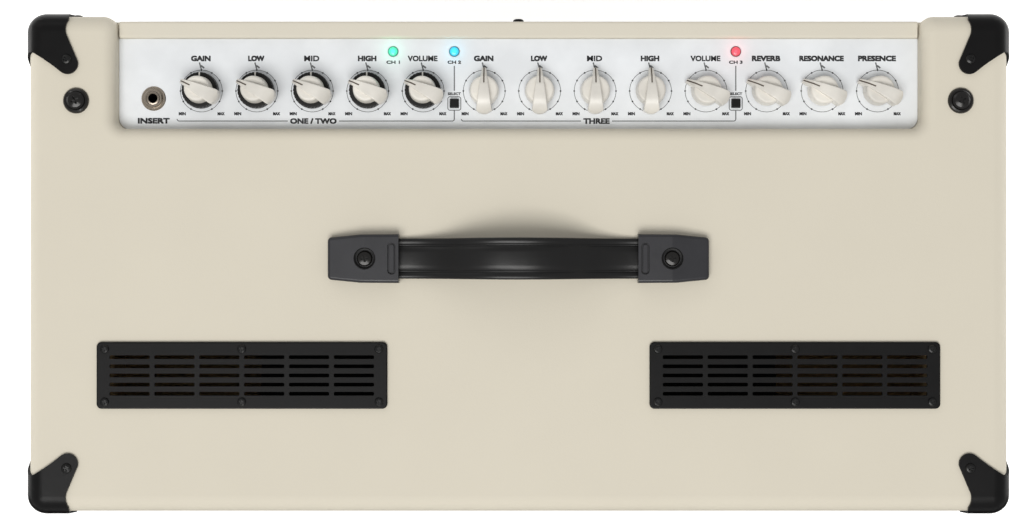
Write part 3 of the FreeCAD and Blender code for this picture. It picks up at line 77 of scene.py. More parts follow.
# ===== materials ===================================================================================
class Surface:
    """A procedural material built up layer by layer on a Principled shader."""

    def __init__(self, name, colour, roughness=0.5, **sockets):
        self.material = bpy.data.materials.new(name)
        self.material.use_nodes = True
        self.tree = self.material.node_tree
        self.shader = next(n for n in self.tree.nodes if n.type == "BSDF_PRINCIPLED")
        self.shader.inputs["Base Color"].default_value = (*colour, 1)
        self.shader.inputs["Roughness"].default_value = roughness
        for socket, value in sockets.items():
            self.shader.inputs[socket.replace("_", " ")].default_value = value
        self.coords = self.tree.nodes.new("ShaderNodeTexCoord").outputs["Object"]
        self.normal = None

    def node(self, kind, **values):
        made = self.tree.nodes.new(kind)
        for key, value in values.items():
            setattr(made, key, value)
        return made

    def place(self, scale):
        """Object coordinates, stretched by three factors."""
        mapping = self.node("ShaderNodeMapping")
        mapping.inputs["Scale"].default_value = scale
        self.tree.links.new(self.coords, mapping.inputs["Vector"])
        return mapping.outputs["Vector"]

    def noise(self, scale, detail=3.0, stretch=(1, 1, 1)):
        made = self.node("ShaderNodeTexNoise")
        made.inputs["Scale"].default_value = scale
        made.inputs["Detail"].default_value = detail
        self.tree.links.new(self.place(stretch), made.inputs["Vector"])
        return made.outputs["Fac"]

    def cells(self, scale):
        made = self.node("ShaderNodeTexVoronoi", feature="SMOOTH_F1")
        made.inputs["Scale"].default_value = scale
        self.tree.links.new(self.place((1, 1, 1)), made.inputs["Vector"])
        return made.outputs["Distance"]

    def waves(self, scale, direction, distortion=0.0):
        made = self.node("ShaderNodeTexWave", bands_direction=direction)
        made.inputs["Scale"].default_value = scale
        made.inputs["Distortion"].default_value = distortion
        self.tree.links.new(self.coords, made.inputs["Vector"])
        return made.outputs["Fac"]

    def combine(self, a, b, operation):
        made = self.node("ShaderNodeMath", operation=operation)
        self.tree.links.new(a, made.inputs[0])
        self.tree.links.new(b, made.inputs[1])
        return made.outputs[0]

    def tint(self, fac, stops):
        """Base colour from a factor through colour stops."""
        ramp = self.node("ShaderNodeValToRGB")
        ramp.color_ramp.elements[0].position, ramp.color_ramp.elements[0].color = (
            stops[0][0], (*stops[0][1], 1))
        ramp.color_ramp.elements[1].position, ramp.color_ramp.elements[1].color = (
            stops[-1][0], (*stops[-1][1], 1))
        for position, colour in stops[1:-1]:
            ramp.color_ramp.elements.new(position).color = (*colour, 1)
        self.tree.links.new(fac, ramp.inputs["Fac"])
        self.tree.links.new(ramp.outputs["Color"], self.shader.inputs["Base Color"])
        return self

    def polish(self, fac, low, high):
        """Roughness that runs from low to high with a factor."""
        span = self.node("ShaderNodeMapRange")
        span.inputs["To Min"].default_value = low
        span.inputs["To Max"].default_value = high
        self.tree.links.new(fac, span.inputs["Value"])
        self.tree.links.new(span.outputs["Result"], self.shader.inputs["Roughness"])
        return self

    def bump(self, fac, depth_mm, strength=1.0):
        made = self.node("ShaderNodeBump")
        made.inputs["Strength"].default_value = strength
        made.inputs["Distance"].default_value = depth_mm * MM
        self.tree.links.new(fac, made.inputs["Height"])
        if self.normal is not None:
            self.tree.links.new(self.normal, made.inputs["Normal"])
        self.normal = made.outputs["Normal"]
        self.tree.links.new(self.normal, self.shader.inputs["Normal"])
        return self


def near(colour, factor):
    """The same colour, lighter or darker."""
    return tuple(min(1.0, c * factor) for c in colour)


def vinyl(name, colour):
    """Leather-grained vinyl: pebbles about a millimetre across, a fine tooth, faint mottling."""
    s = Surface(name, colour, 0.62, Specular_IOR_Level=0.2)
    pebbles = s.cells(880.0)
    s.tint(s.noise(16.0, 4.0), [(0.3, near(colour, 0.99)), (0.7, near(colour, 1.008))])
    s.polish(s.noise(60.0), 0.56, 0.68)
    s.bump(pebbles, 0.10, 0.55)
    s.bump(s.noise(2600.0, 2.0), 0.03, 0.5)
    s.bump(s.noise(9.0, 1.0), 1.4, 0.10)
    return s.material


def moulded(name, colour, roughness, grain=0.02, scale=1500.0, **sockets):
    """Moulded plastic or rubber with a fine spark-eroded grain."""
    s = Surface(name, colour, roughness, **sockets)
    s.tint(s.noise(40.0), [(0.3, near(colour, 0.86)), (0.7, near(colour, 1.12))])
    s.polish(s.noise(220.0), roughness * 0.85, min(1.0, roughness * 1.15))
    s.bump(s.noise(scale, 2.0), grain, 0.6)
    return s.material


def coated_metal(name, colour, roughness, metallic=0.0, grain=0.015, scale=900.0, **sockets):
    """Painted, plated or powder-coated metal with slight orange peel."""
    s = Surface(name, colour, roughness, Metallic=metallic, **sockets)
    s.tint(s.noise(30.0, 5.0), [(0.35, near(colour, 0.93)), (0.7, near(colour, 1.04))])
    s.polish(s.noise(140.0, 4.0), roughness * 0.8, min(1.0, roughness * 1.25))
    s.bump(s.cells(scale), grain, 0.5)
    return s.material


def plywood(name, colour):
    """Birch plywood: long grain on the faces, thin plies in the bump at the edges."""
    s = Surface(name, colour, 0.6)
    grain = s.noise(18.0, 6.0, (1, 14, 14))
    s.tint(grain, [(0.3, near(colour, 0.78)), (0.55, colour), (0.75, near(colour, 1.15))])
    s.bump(s.waves(330.0, "Z"), 0.05, 0.3)
    s.bump(grain, 0.08, 0.5)
    return s.material


def woven(name, dark, light, per_metre):
    """Grille cloth: warp and weft that pass over and under each other."""
    s = Surface(name, dark, 0.75, Sheen_Weight=0.15)
    scale = per_metre / 6.2832 * 2
    warp = s.waves(scale, "X")
    weft = s.waves(scale, "Z")
    weave = s.combine(warp, weft, "MAXIMUM")
    s.tint(s.combine(weave, s.noise(300.0), "MULTIPLY"), [(0.15, dark), (0.6, light)])
    s.bump(weave, 0.25, 0.8)
    return s.material


def glowing(name, colour, strength):
    """A lit lens: a glossy tinted plastic that gives off its own colour."""
    s = Surface(name, near(colour, 0.6), 0.2, Emission_Strength=strength, Coat_Weight=0.6)
    s.shader.inputs["Emission Color"].default_value = (*colour, 1)
    s.bump(s.cells(700.0), 0.03, 0.4)
    return s.material


CREAM = (0.722, 0.672, 0.560)
STRIP = (0.735, 0.690, 0.585)

M = {
    "vinyl": vinyl("cream_vinyl", CREAM),
    "vinyl_board": vinyl("cream_vinyl_board", STRIP),
    "plywood": plywood("birch_plywood", (0.56, 0.42, 0.25)),
    "pine": plywood("pine", (0.58, 0.43, 0.24)),
    "cloth": woven("grille_cloth", (0.010, 0.010, 0.011), (0.06, 0.06, 0.062), 700.0),
    "piping": moulded("piping", (0.70, 0.65, 0.53), 0.4, 0.02),
    "panel": coated_metal("white_panel", (0.855, 0.88, 0.905), 0.42, grain=0.012),
    "black_metal": coated_metal("black_metal", (0.0062, 0.0060, 0.0062), 0.34, grain=0.02,
                                Specular_IOR_Level=0.15),
    "black_plastic": moulded("black_plastic", (0.006, 0.0058, 0.0058), 0.42, Specular_IOR_Level=0.2),
    "cap_plastic": moulded("cap_plastic", (0.026, 0.026, 0.030), 0.34, 0.03, Specular_IOR_Level=0.45),
    "strap": moulded("strap_rubber", (0.007, 0.0068, 0.0068), 0.33, 0.03, 1100.0,
                     Specular_IOR_Level=0.4),
    "rubber": moulded("foot_rubber", (0.020, 0.020, 0.020), 0.75, 0.05, 700.0),
    "screw": coated_metal("screw_black", (0.012, 0.012, 0.012), 0.26, 0.3, Specular_IOR_Level=0.4),
    "bolt": coated_metal("bolt_dark", (0.012, 0.011, 0.010), 0.2, 0.2, Specular_IOR_Level=0.5),
    "zinc": coated_metal("zinc_steel", (0.58, 0.58, 0.55), 0.38, 0.9),
    "nickel": coated_metal("nickel", (0.36, 0.31, 0.255), 0.26, 0.95),
    "laminate": moulded("circuit_board", (0.020, 0.11, 0.045), 0.35),
    "sleeve": moulded("capacitor_sleeve", (0.012, 0.018, 0.07), 0.25),
    "iron": coated_metal("black_iron", (0.03, 0.03, 0.032), 0.45, 0.4),
    "ceramic": moulded("ceramic", (0.74, 0.71, 0.62), 0.3),
    "ivory": moulded("ivory", (0.775, 0.745, 0.685), 0.36, 0.01, 500.0, Coat_Weight=0.1),
    "ring": moulded("ring_black", (0.0085, 0.008, 0.0075), 0.4, 0.02, Specular_IOR_Level=0.3),
    "ink": moulded("ink", (0.020, 0.021, 0.024), 0.6, 0.01),
    "grey_ink": moulded("grey_ink", (0.13, 0.135, 0.14), 0.6, 0.01),
    "line": moulded("pointer_line", (0.11, 0.085, 0.065), 0.5, 0.01),
    "seal": moulded("seal_foam", (0.72, 0.71, 0.67), 0.8, 0.02),
    "white_line": moulded("tick_white", (0.82, 0.80, 0.74), 0.45, 0.01),
}

glass = Surface("tube_glass", (0.93, 0.95, 0.95), 0.04, Transmission_Weight=1.0, IOR=1.46)
glass.tint(glass.noise(90.0), [(0.3, (0.88, 0.90, 0.90)), (0.7, (0.97, 0.98, 0.98))])
glass.bump(glass.noise(120.0), 0.02, 0.3)
M["glass"] = glass.material

PAINT = {
    "vinyl": ["vinyl_covering"],
    "vinyl_board": ["rear_board"],
    "plywood": ["top_board", "bottom_board", "left_side_board", "right_side_board", "front_baffle"],
    "pine": ["cleats"],
    "piping": ["grille_piping"],
    "panel": ["control_panel", "rear_socket_plate"],
    # The reverb tank is painted black: partly a bagged tank's own black, partly painted shade for the
    # dark seen through the vent slots.
    "black_metal": ["corner_protectors", "rear_vent_mesh", "vent_grilles", "reverb_tank"],
    "black_plastic": ["jack_sockets", "mains_inlet", "switch_frames", "power_rocker",
                      "standby_rocker", "select_button_ch12", "select_button_ch3"],
    "cap_plastic": ["handle_end_caps"],
    "rubber": ["rubber_feet"],
    "screw": ["wood_screws"],
    "bolt": ["top_bolts", "cup_washers"],
    "zinc": ["chassis", "potentiometers"],
    "nickel": ["pot_nuts", "jack_nuts"],
    "laminate": ["circuit_boards"],
    "sleeve": ["filter_capacitors"],
    "iron": ["power_transformer", "output_transformer"],
    "ceramic": ["tube_sockets"],
    "glass": ["power_tubes", "preamp_tubes"],
    "ring": [name + "_knob_ch12_lower" for name in EQ],
    "ivory": [name + "_knob_ch12_upper" for name in EQ] + [name + "_knob_ch3" for name in EQ]
    + [name + "_knob" for name, _ in MASTERS],
}
BEVELS = {"handle_end_caps": 0.3, "rear_socket_plate": 0.2, "switch_frames": 0.3,
          "mains_inlet": 0.3, "front_baffle": 0.4, "power_rocker": 0.25, "standby_rocker": 0.25}


def paint_nodes():
    """Gives each CAD node its material and smooth shading between its sharp edges."""
    for key, names in PAINT.items():
        for name in names:
            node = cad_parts[name]
            node.data.materials.clear()
            node.data.materials.append(M[key])
            node.data.shade_smooth()
            node.data.set_sharp_from_angle(angle=math.radians(32))
            if name in BEVELS:
                bevel = node.modifiers.new("soft_edges", "BEVEL")
                bevel.width = BEVELS[name] * MM
                bevel.segments = 2
                bevel.limit_method = "ANGLE"
                bevel.angle_limit = math.radians(50)


# ===== mesh helpers =================================================================================
def add_mesh(name, bm, body, material, smooth=True, angle=40):
    """A bmesh becomes a piece that rides on a body."""
    mesh = bpy.data.meshes.new(name)
    bm.normal_update()
    bm.to_mesh(mesh)
    bm.free()
    for item in material if isinstance(material, list) else [material]:
        mesh.materials.append(item)
    if smooth:
        mesh.shade_smooth()
        mesh.set_sharp_from_angle(angle=math.radians(angle))
    piece = bpy.data.objects.new(name, mesh)
    bpy.context.collection.objects.link(piece)
    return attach(piece, body)


def loft(bm, rings, closed_ends=True):
    """Joins rings of equally many points into a skin, capped at both ends unless told not to."""
    rows = [[bm.verts.new(p) for p in ring] for ring in rings]
    count = len(rows[0])
    for a, b in zip(rows, rows[1:]):
        for i in range(count):
            bm.faces.new((a[i], a[(i + 1) % count], b[(i + 1) % count], b[i]))
    if closed_ends:
        bm.faces.new(list(reversed(rows[0])))
        bm.faces.new(rows[-1])


def turned(bm, profile, x, y, z, segments=48):
    """A profile of (radius, height) pairs in millimetres, turned about a vertical axis."""
    rings = []
    for radius, height in profile:
        ring = [((x + radius * math.cos(2 * math.pi * i / segments)) * MM,
                 (y + radius * math.sin(2 * math.pi * i / segments)) * MM, z + height * MM)
                for i in range(segments)]
        rings.append(ring)
    loft(bm, rings)


def flat_bar(bm, start, end, width, material=0):
    """A thin printed stroke between two points, in millimetres on a plane."""
    a, b = Vector((*start, 0)), Vector((*end, 0))
    side = (b - a).normalized().cross(Vector((0, 0, 1))) * width / 2
    quad = [bm.verts.new(p * MM) for p in (a - side, b - side, b + side, a + side)]
    face = bm.faces.new(quad)
    face.material_index = material
    if face.calc_area() and (quad[1].co - quad[0].co).cross(quad[2].co - quad[1].co).z < 0:
        face.normal_flip()


def flat_ring(bm, x, y, radius, width, segments=96, start=0.0, sweep=360.0, material=0):
    """A printed circle or arc, angles in degrees from +X."""
    steps = max(3, int(segments * abs(sweep) / 360))
    rows = []
    for i in range(steps + 1):
        a = math.radians(start + sweep * i / steps)
        rows.append([bm.verts.new(((x + r * math.cos(a)) * MM, (y + r * math.sin(a)) * MM, 0))
                     for r in (radius - width / 2, radius + width / 2)])
    for p, q in zip(rows, rows[1:]):
        bm.faces.new((p[0], p[1], q[1], q[0])).material_index = material


def flat_disc(bm, x, y, radius):
    """A printed dot."""
    segments = 16
    ring = [bm.verts.new(((x + radius * math.cos(2 * math.pi * i / segments)) * MM,
                          (y + radius * math.sin(2 * math.pi * i / segments)) * MM, 0))
            for i in range(segments)]
    bm.faces.new(ring)


def words(bm, text, x, y, height, width, weight):
    """Lettering in the built-in font, centred at x, y, in millimetres, stretched to a width.

    It is thickened to a bold face by laying four copies a weight to each side."""
    curve = bpy.data.curves.new("words", "FONT")
    curve.body = text
    curve.size = 1.0
    curve.offset = 0.008
    curve.resolution_u = 3
    holder = bpy.data.objects.new("words", curve)
    bpy.context.collection.objects.link(holder)
    bpy.context.view_layer.update()
    mesh = bpy.data.meshes.new_from_object(holder)
    xs, ys = [v.co.x for v in mesh.vertices], [v.co.y for v in mesh.vertices]
    scale_y = (height - 2 * weight) / (max(ys) - min(ys))
    scale_x = (width - 2 * weight) / (max(xs) - min(xs))
    for v in mesh.vertices:
        v.co.x = (x + weight + (v.co.x - (max(xs) + min(xs)) / 2) * scale_x) * MM
        v.co.y = (y + weight + (v.co.y - (max(ys) + min(ys)) / 2) * scale_y) * MM
        v.co.z = 0
    for dx, dy in ((0, 0), (-2 * weight, 0), (0, -2 * weight), (2 * weight, 0)):
        for v in mesh.vertices:
            v.co += Vector((dx, dy, 0.004)) * MM
        bm.from_mesh(mesh)
    bpy.data.objects.remove(holder)
    bpy.data.meshes.remove(mesh)
    bpy.data.curves.remove(curve)


def lay_print(name, bm, matrix):
    """Flat strokes, black as material 0 and grey as material 1, become thin ink on a face."""
    bmesh.ops.recalc_face_normals(bm, faces=bm.faces)
    for face in bm.faces:
        if face.normal.z < 0:
            face.normal_flip()
    bm.transform(matrix)
    piece = add_mesh(name, bm, "cabinet", [M["ink"], M["grey_ink"]],
                     smooth=False)
    solid = piece.modifiers.new("ink_depth", "SOLIDIFY")
    solid.thickness = 0.04 * MM
    solid.offset = 1.0
    return piece


# ===== printed panel =================================================================================
LABEL_Y, SCALE_R, RAIL_Y = 148.3, 15.1, 103.1
LETTERS, SMALL_LETTERS = 4.1, 2.3   # heights
LABEL_WIDTHS = {"gain": 14.2, "low": 11.8, "mid": 11.0, "high": 13.4, "volume": 21.6,
                "reverb": 20.6, "resonance": 32.2, "presence": 27.4}


def knob_print(bm, name, x):
    """Label, pointer mark, circle with eleven dots, and the two ends of the scale."""
    weight = 0.17 if "m" in name else 0.27      # lighter for an M, which closes up
    words(bm, name.upper(), x - 0.4, LABEL_Y, LETTERS, LABEL_WIDTHS[name], weight)
    flat_ring(bm, x, KNOB_Y, SCALE_R, 0.42, material=GREY)
    for i in range(11):
        a = math.radians(90 + 150 - 30 * i)
        flat_disc(bm, x + SCALE_R * math.cos(a), KNOB_Y + SCALE_R * math.sin(a), 0.62)
    flat_bar(bm, (x - 1.4, KNOB_Y + 20.6), (x, KNOB_Y + 15.4), 0.95, GREY)
    flat_bar(bm, (x - 0.3, KNOB_Y + 18.4), (x + 2.0, KNOB_Y + 16.6), 1.15, GREY)
    words(bm, "MIN", x - 13.8, KNOB_Y - 16.4, SMALL_LETTERS, 5.1, 0.14)
    words(bm, "MAX", x + 14.2, KNOB_Y - 16.4, SMALL_LETTERS, 5.1, 0.14)


def rounded_frame(bm, x, y, half_x, half_y, radius, width):
    """A rounded rectangle's outline, in grey ink."""
    for sx, sy, start in ((1, 1, 0), (-1, 1, 90), (-1, -1, 180), (1, -1, 270)):
        flat_ring(bm, x + sx * (half_x - radius), y + sy * (half_y - radius), radius, width,
                  48, start, 90, GREY)
    for s in (-1, 1):
        flat_bar(bm, (x - half_x + radius, y + s * half_y), (x + half_x - radius, y + s * half_y),
                 width, GREY)
        flat_bar(bm, (x + s * half_x, y - half_y + radius), (x + s * half_x, y + half_y - radius),
                 width, GREY)


def make_panel_print():
    """Everything printed on the control panel: knob scales, lamp and button labels, and the two
    rails that group the channels, each with a gap for its name."""
    bm = bmesh.new()
    for name, x in DUALS + CHANNEL_3 + MASTERS:
        knob_print(bm, name, x)
    for x, label in zip(LAMP_X, ("CH 1", "CH 2", "CH 3")):
        words(bm, label, x, 145.6, 2.4, 9.8, 0.14)
    rail, bend = 0.7, 1.5               # the rails' width and corner radius
    for x, start, gap0, gap1, label in ((BUTTON_X[0], -246.5, -166.6, -129.6, "ONE / TWO"),
                                        (BUTTON_X[1], -41.2, 45.2, 67.6, "THREE")):
        words(bm, "SELECT", x, 122.8, 2.0, 9.4, 0.11)
        rounded_frame(bm, x, BUTTON_Y, 4.7, 4.9, 1.6, 0.6)
        flat_bar(bm, (x, 143.0), (x, 124.9), 0.8, GREY)
        flat_bar(bm, (x, 110.6), (x, RAIL_Y + bend), 0.8, GREY)
        flat_ring(bm, x - bend, RAIL_Y + bend, bend, rail, 48, 270, 90, GREY)
        flat_bar(bm, (start + bend, RAIL_Y), (gap0, RAIL_Y), rail, GREY)
        flat_bar(bm, (gap1, RAIL_Y), (x - bend, RAIL_Y), rail, GREY)
        flat_ring(bm, start + bend, RAIL_Y + bend, bend, rail, 48, 180, 90, GREY)
        words(bm, label, (gap0 + gap1) / 2, RAIL_Y, LETTERS, gap1 - gap0 - 3.4, 0.24)
    words(bm, "INSERT", INSERT_X, RAIL_Y + 0.2, 4.2, 23.0, 0.28)
    lay_print("panel_print", bm, Matrix.Translation((0, 0, PANEL_Z)))


def make_rear_print():
    """Plain words beside the sockets and switches at the rear."""
    bm = bmesh.new()
    labels = (("SPEAKER", 80.0, 12.6), ("SEND", -60.0, 7.0), ("RETURN", -90.0, 10.0),
              ("FOOTSWITCH", -150.0, 17.0), ("POWER", 190.0, 9.6), ("STANDBY", 160.0, 12.6))
    for text, x, width in labels:
        words(bm, text, -x, 15.0, 2.4, width, 0.07)
    near_x, far_x = SPEAKER_X
    for x in (far_x, near_x):
        flat_bar(bm, (-x, 11.8), (-x, 13.4), 0.4, GREY)
    flat_bar(bm, (-far_x, 13.4), (-near_x, 13.4), 0.4, GREY)
    upright = Matrix.Translation((0, PLATE_Y, SOCKET_Z * MM)) @ Matrix.Rotation(math.pi, 4, "Z") \
        @ Matrix.Rotation(math.pi / 2, 4, "X")
    lay_print("rear_print", bm, upright)


# ===== knobs ========================================================================================
def body_of(name, x):
    """(body, node, turn) of each pointer knob."""
    if (name, x) in DUALS:
        return name + "_ch12_upper", name + "_knob_ch12_upper", SET_BACK
    if (name, x) in CHANNEL_3:
        return name + "_ch3", name + "_knob_ch3", SET_BACK if name == "volume" else 0.0
    return name, name + "_knob", SET_BACK


def ridge_height(y, beak):
    """Height of a pointer's ridge from the knob's top, at a distance from its axis."""
    if y <= RIDGE_KNEE[0]:
        (y0, z0), (y1, z1) = RIDGE_START, RIDGE_KNEE
    else:
        (y0, z0), (y1, z1) = RIDGE_KNEE, (beak, RIDGE_TIP_Z)
    return z0 + (z1 - z0) / (y1 - y0) * (y - y0)


def make_pointer_lines():
    """The dark line let into each pointer, and the white one on each lower ring."""
    for name, x in DUALS + CHANNEL_3 + MASTERS:
        body, node, angle = body_of(name, x)
        beak = 14.0 if (name, x) in DUALS else 16.4
        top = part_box(node)[1].z
        place = Matrix.Translation((x * MM, KNOB_Y * MM, top)) @ Matrix.Rotation(
            math.radians(angle), 4, "Z")
        bm = bmesh.new()
        rings = []
        knee = RIDGE_KNEE[0]
        for y in (4.7, 6.3, 8.0, knee, (knee + beak) / 2, beak - 0.3):
            z = ridge_height(y, beak)
            rings.append([(s * 0.42 * MM, y * MM, (z + dz) * MM)
                          for s, dz in ((-1, -0.72), (1, -0.72), (1, -0.26), (0.5, -0.16),
                                        (-0.5, -0.16), (-1, -0.26))])
        loft(bm, rings)
        bmesh.ops.recalc_face_normals(bm, faces=bm.faces)
        bm.transform(place)
        add_mesh(node + "_line", bm, body, M["line"])
    for name, x in DUALS:
        node = name + "_knob_ch12_lower"
        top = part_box(node)[1].z
        bm = bmesh.new()
        rings = [[((x + s * 0.47) * MM, (KNOB_Y + y) * MM, top + dz * MM)
                  for s, dz in ((-1, -0.5 - drop), (1, -0.5 - drop), (1, 0.02 - drop),
                                (-1, 0.02 - drop))]
                 for y, drop in ((8.05, 0.0), (10.5, 0.0), (12.0, 0.0), (12.5, 0.12), (12.8, 0.42))]
        loft(bm, rings)
        bmesh.ops.recalc_face_normals(bm, faces=bm.faces)
        add_mesh(node + "_tick", bm, name + "_ch12_lower", M["white_line"])


# ===== lamps ========================================================================================
def make_lamps():
    """A rim, tinted a darker copy of the lamp's colour as painted shade for the dim edge of the lit
    lens, with a domed lens that glows, and a small light for its halo, for each lamp.
    """
    colours = (("green", (0.10, 0.85, 0.52), 0.55), ("blue", (0.06, 0.60, 0.85), 0.6),
               ("red", (0.80, 0.10, 0.14), 0.6))
    for (name, colour, strength), x in zip(colours, LAMP_X):
        bm = bmesh.new()
        turned(bm, [(0.2, -16.6), (2.4, -16.6), (2.5, -7.6), (LAMP_R, -7.4), (LAMP_R, 0.5),
                    (3.55, 0.95), (3.2, 1.1)], x, LAMP_Y, PANEL_Z)
        # The rim's darker copy of the lamp's colour is painted shade: the dim edge round the lit lens.
        rim = add_mesh("lamp_rim_painted_shade_" + name, bm, "cabinet",
                       moulded("lamp_rim_painted_shade_" + name, near(colour, 0.45), 0.3, 0.01))
        bm = bmesh.new()
        turned(bm, [(3.18, 0.6), (3.18, 1.12), (3.0, 1.5), (2.4, 1.9), (1.5, 2.13), (0.6, 2.2),
                    (0.05, 2.21)], x, LAMP_Y, PANEL_Z)
        add_mesh("lamp_lens_" + name, bm, "cabinet", glowing("lamp_glow_" + name, colour, strength))
        if name == "green":
            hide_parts("indicator_lamps")
        glow = bpy.data.lights.new("glow_" + name, "POINT")
        glow.energy, glow.color, glow.shadow_soft_size = 0.0011, colour, 0.002
        spot = bpy.data.objects.new("glow_" + name, glow)
        bpy.context.collection.objects.link(spot)
        spot.location = (x * MM, LAMP_Y * MM, PANEL_Z + 0.0045)
        spot.visible_camera = False


# ===== sockets =====================================================================================
def collar(bm, profile, x, y, z):
    """A closed profile of (radius, height) pairs turned into a ring about a vertical axis."""
    turns = [2 * math.pi * i / 48 for i in range(48)]
    loft(bm, [[((x + r * math.cos(a)) * MM, (y + r * math.sin(a)) * MM, z + h * MM) for a in turns]
              for r, h in profile + profile[:1]], closed_ends=False)
    bmesh.ops.remove_doubles(bm, verts=bm.verts, dist=1e-7)
    bmesh.ops.recalc_face_normals(bm, faces=bm.faces)


def make_collars():
    """The bright collar round the insert socket's hole, and black liners round the handle bolts, whose
    black is painted shade in the caps' bolt pockets.
    """
    bm = bmesh.new()
    collar(bm, [(3.3, -1.6), (3.3, 0.1), (3.5, 0.3), (4.5, 0.3), (4.8, 0.05), (4.8, -0.4)],
           INSERT_X, INSERT_Y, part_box("jack_sockets")[1].z)
    add_mesh("insert_ferrule", bm, "cabinet", M["nickel"])
    # Black liners in the handle caps' bolt pockets: painted shade that darkens the pockets.
    bm = bmesh.new()
    for x in (-HANDLE_BOLT_X, HANDLE_BOLT_X):
        collar(bm, [(6.1, 0.02), (7.7, 0.02), (7.7, 2.7), (7.3, 2.8), (7.2, 0.7), (6.1, 0.5)],
               x, HANDLE_Y, TOP_Z + SHADE_LINER_BASE * MM)
    add_mesh("bolt_pocket_shade_liners", bm, "cabinet", M["black_plastic"])


def make_seal():
    """A pale bead that closes the joint all round the control panel."""
    low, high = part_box("control_panel")
    radius = 8.0 * MM
    edge = []
    for x, start in ((low.x + radius, math.pi), (high.x - radius, 1.5 * math.pi)):
        for i in range(9):
            a = start + math.pi / 2 * i / 8
            out = Vector((math.cos(a), math.sin(a), 0))
            edge.append((Vector((x, low.y + radius, PANEL_Z)) + out * radius, out))
    edge.append((Vector((high.x, high.y, PANEL_Z)), Vector((1, 1, 0))))
    edge.append((Vector((low.x, high.y, PANEL_Z)), Vector((-1, 1, 0))))
    section = ((0.04, -1.3), (0.36, -1.3), (0.36, -0.3), (0.20, -0.15), (0.04, -0.3))
    bm = bmesh.new()
    loft(bm, [[at + out * t * MM + Vector((0, 0, dz * MM)) for t, dz in section]
              for at, out in edge + edge[:1]], closed_ends=False)
    bmesh.ops.remove_doubles(bm, verts=bm.verts, dist=1e-7)
    bmesh.ops.recalc_face_normals(bm, faces=bm.faces)
    add_mesh("panel_seal", bm, "cabinet", M["seal"])


# ===== strap ========================================================================================
def make_strap():
    """The moulded strap: two long grooves, a broader grip, and plain narrower ends in the caps."""
    low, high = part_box("handle_strap")
    y_mid = (low.y + high.y) / 2
    end_x, width = high.x, high.y - low.y
    reach = 87.8 * MM
    z_end = low.z
    thick, rise_low, rise_top = 4.0 * MM, 21.0 * MM, high.z - low.z - 4.0 * MM

    def line(x, rise):
        """Height of an S-shaped arch of three tangent arcs above its straight ends."""
        d = abs(x)
        if d >= reach:
            return 0.0
        radius = (reach ** 2 + rise ** 2) / (4 * rise)
        if d >= reach / 2:
            return radius - math.sqrt(radius ** 2 - (reach - d) ** 2)
        return rise - radius + math.sqrt(radius ** 2 - d ** 2)

    stations = []
    x = -end_x
    while x < end_x + 1e-6:
        stations.append(x)
        x += 1.6 * MM
    rings = []
    for x in stations:
        grip = math.exp(-(x / (46.0 * MM)) ** 2)
        inside = abs(x) > reach
        half = (13.3 * MM if inside else width / 2 * (0.965 + 0.03 * grip))
        bottom, top = z_end + line(x, rise_low), z_end + thick + line(x, rise_top)
        shrink = 0.0 if inside else 0.2 * MM * (1 - grip)
        top, bottom = top - shrink - 0.05 * MM, bottom + 0.05 * MM
        groove = 0.0 if inside else 0.9 * MM
        crown = 0.0 if inside else 0.55 * MM
        edge = 1.5 * MM
        profile_top = [(-1.0, edge * 0.9), (-0.985, edge * 0.45), (-0.95, edge * 0.12), (-0.88, 0.0),
                       (-0.72, 0.0), (-0.69, groove * 0.55), (-0.66, groove), (-0.62, groove),
                       (-0.59, groove * 0.55), (-0.56, 0.0), (-0.3, -crown * 0.5), (0.0, -crown * 0.6),
                       (0.3, -crown * 0.5), (0.56, 0.0), (0.59, groove * 0.55), (0.62, groove),
                       (0.66, groove), (0.69, groove * 0.55), (0.72, 0.0), (0.88, 0.0),
                       (0.95, edge * 0.12), (0.985, edge * 0.45), (1.0, edge * 0.9)]
        profile_low = [(1.0, edge * 0.7), (0.96, edge * 0.2), (0.88, 0.0), (0.4, 0.0), (-0.4, 0.0),
                       (-0.88, 0.0), (-0.96, edge * 0.2), (-1.0, edge * 0.7)]
        ring = [(x, y_mid + u * half, top - crown * 0.6 - d) for u, d in profile_top]
        ring += [(x, y_mid + u * half, bottom + d) for u, d in profile_low]
        rings.append(ring)
    bm = bmesh.new()
    loft(bm, rings)
    bmesh.ops.recalc_face_normals(bm, faces=bm.faces)
    strap = add_mesh("strap_moulding", bm, "strap", M["strap"], angle=60)
    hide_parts("handle_strap")


# ===== grille cloth =================================================================================
def make_cloth():
    """Cloth stretched over the baffle, folded back round its four edges."""
    low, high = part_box("grille_cloth")
    fold, thickness, bend = 11.6 * MM, 0.8 * MM, 2.4 * MM
    y0 = low.y + thickness / 2
    half = (high.x - low.x) / 2 - thickness / 2
    z0, z1 = low.z + thickness / 2, high.z - thickness / 2

    def stations(a, b, count):
        """(position across, depth) along the face and round both folds."""
        points = [(a, fold), (a, bend)]
        for i in range(1, 4):
            t = math.pi / 2 * i / 4
            points.append((a + bend * (1 - math.cos(t)), bend * (1 - math.sin(t))))
        points += [(a + bend + (b - a - 2 * bend) * i / count, 0.0) for i in range(count + 1)]
        for i in range(3, 0, -1):
            t = math.pi / 2 * i / 4
            points.append((b - bend * (1 - math.cos(t)), bend * (1 - math.sin(t))))
        return points + [(b, bend), (b, fold)]

    across, up = stations(-half, half, 60), stations(z0, z1, 20)
    bm = bmesh.new()
    grid = [[bm.verts.new((x, y0 + max(dx, dz), z)) for x, dx in across] for z, dz in up]
    for row_a, row_b in zip(grid, grid[1:]):
        for i in range(len(row_a) - 1):
            bm.faces.new((row_a[i], row_a[i + 1], row_b[i + 1], row_b[i]))
    cloth = add_mesh("grille_weave", bm, "cabinet", M["cloth"])
    solid = cloth.modifiers.new("thread_depth", "SOLIDIFY")
    solid.thickness = thickness
    solid.offset = 0.0
    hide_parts("grille_cloth")


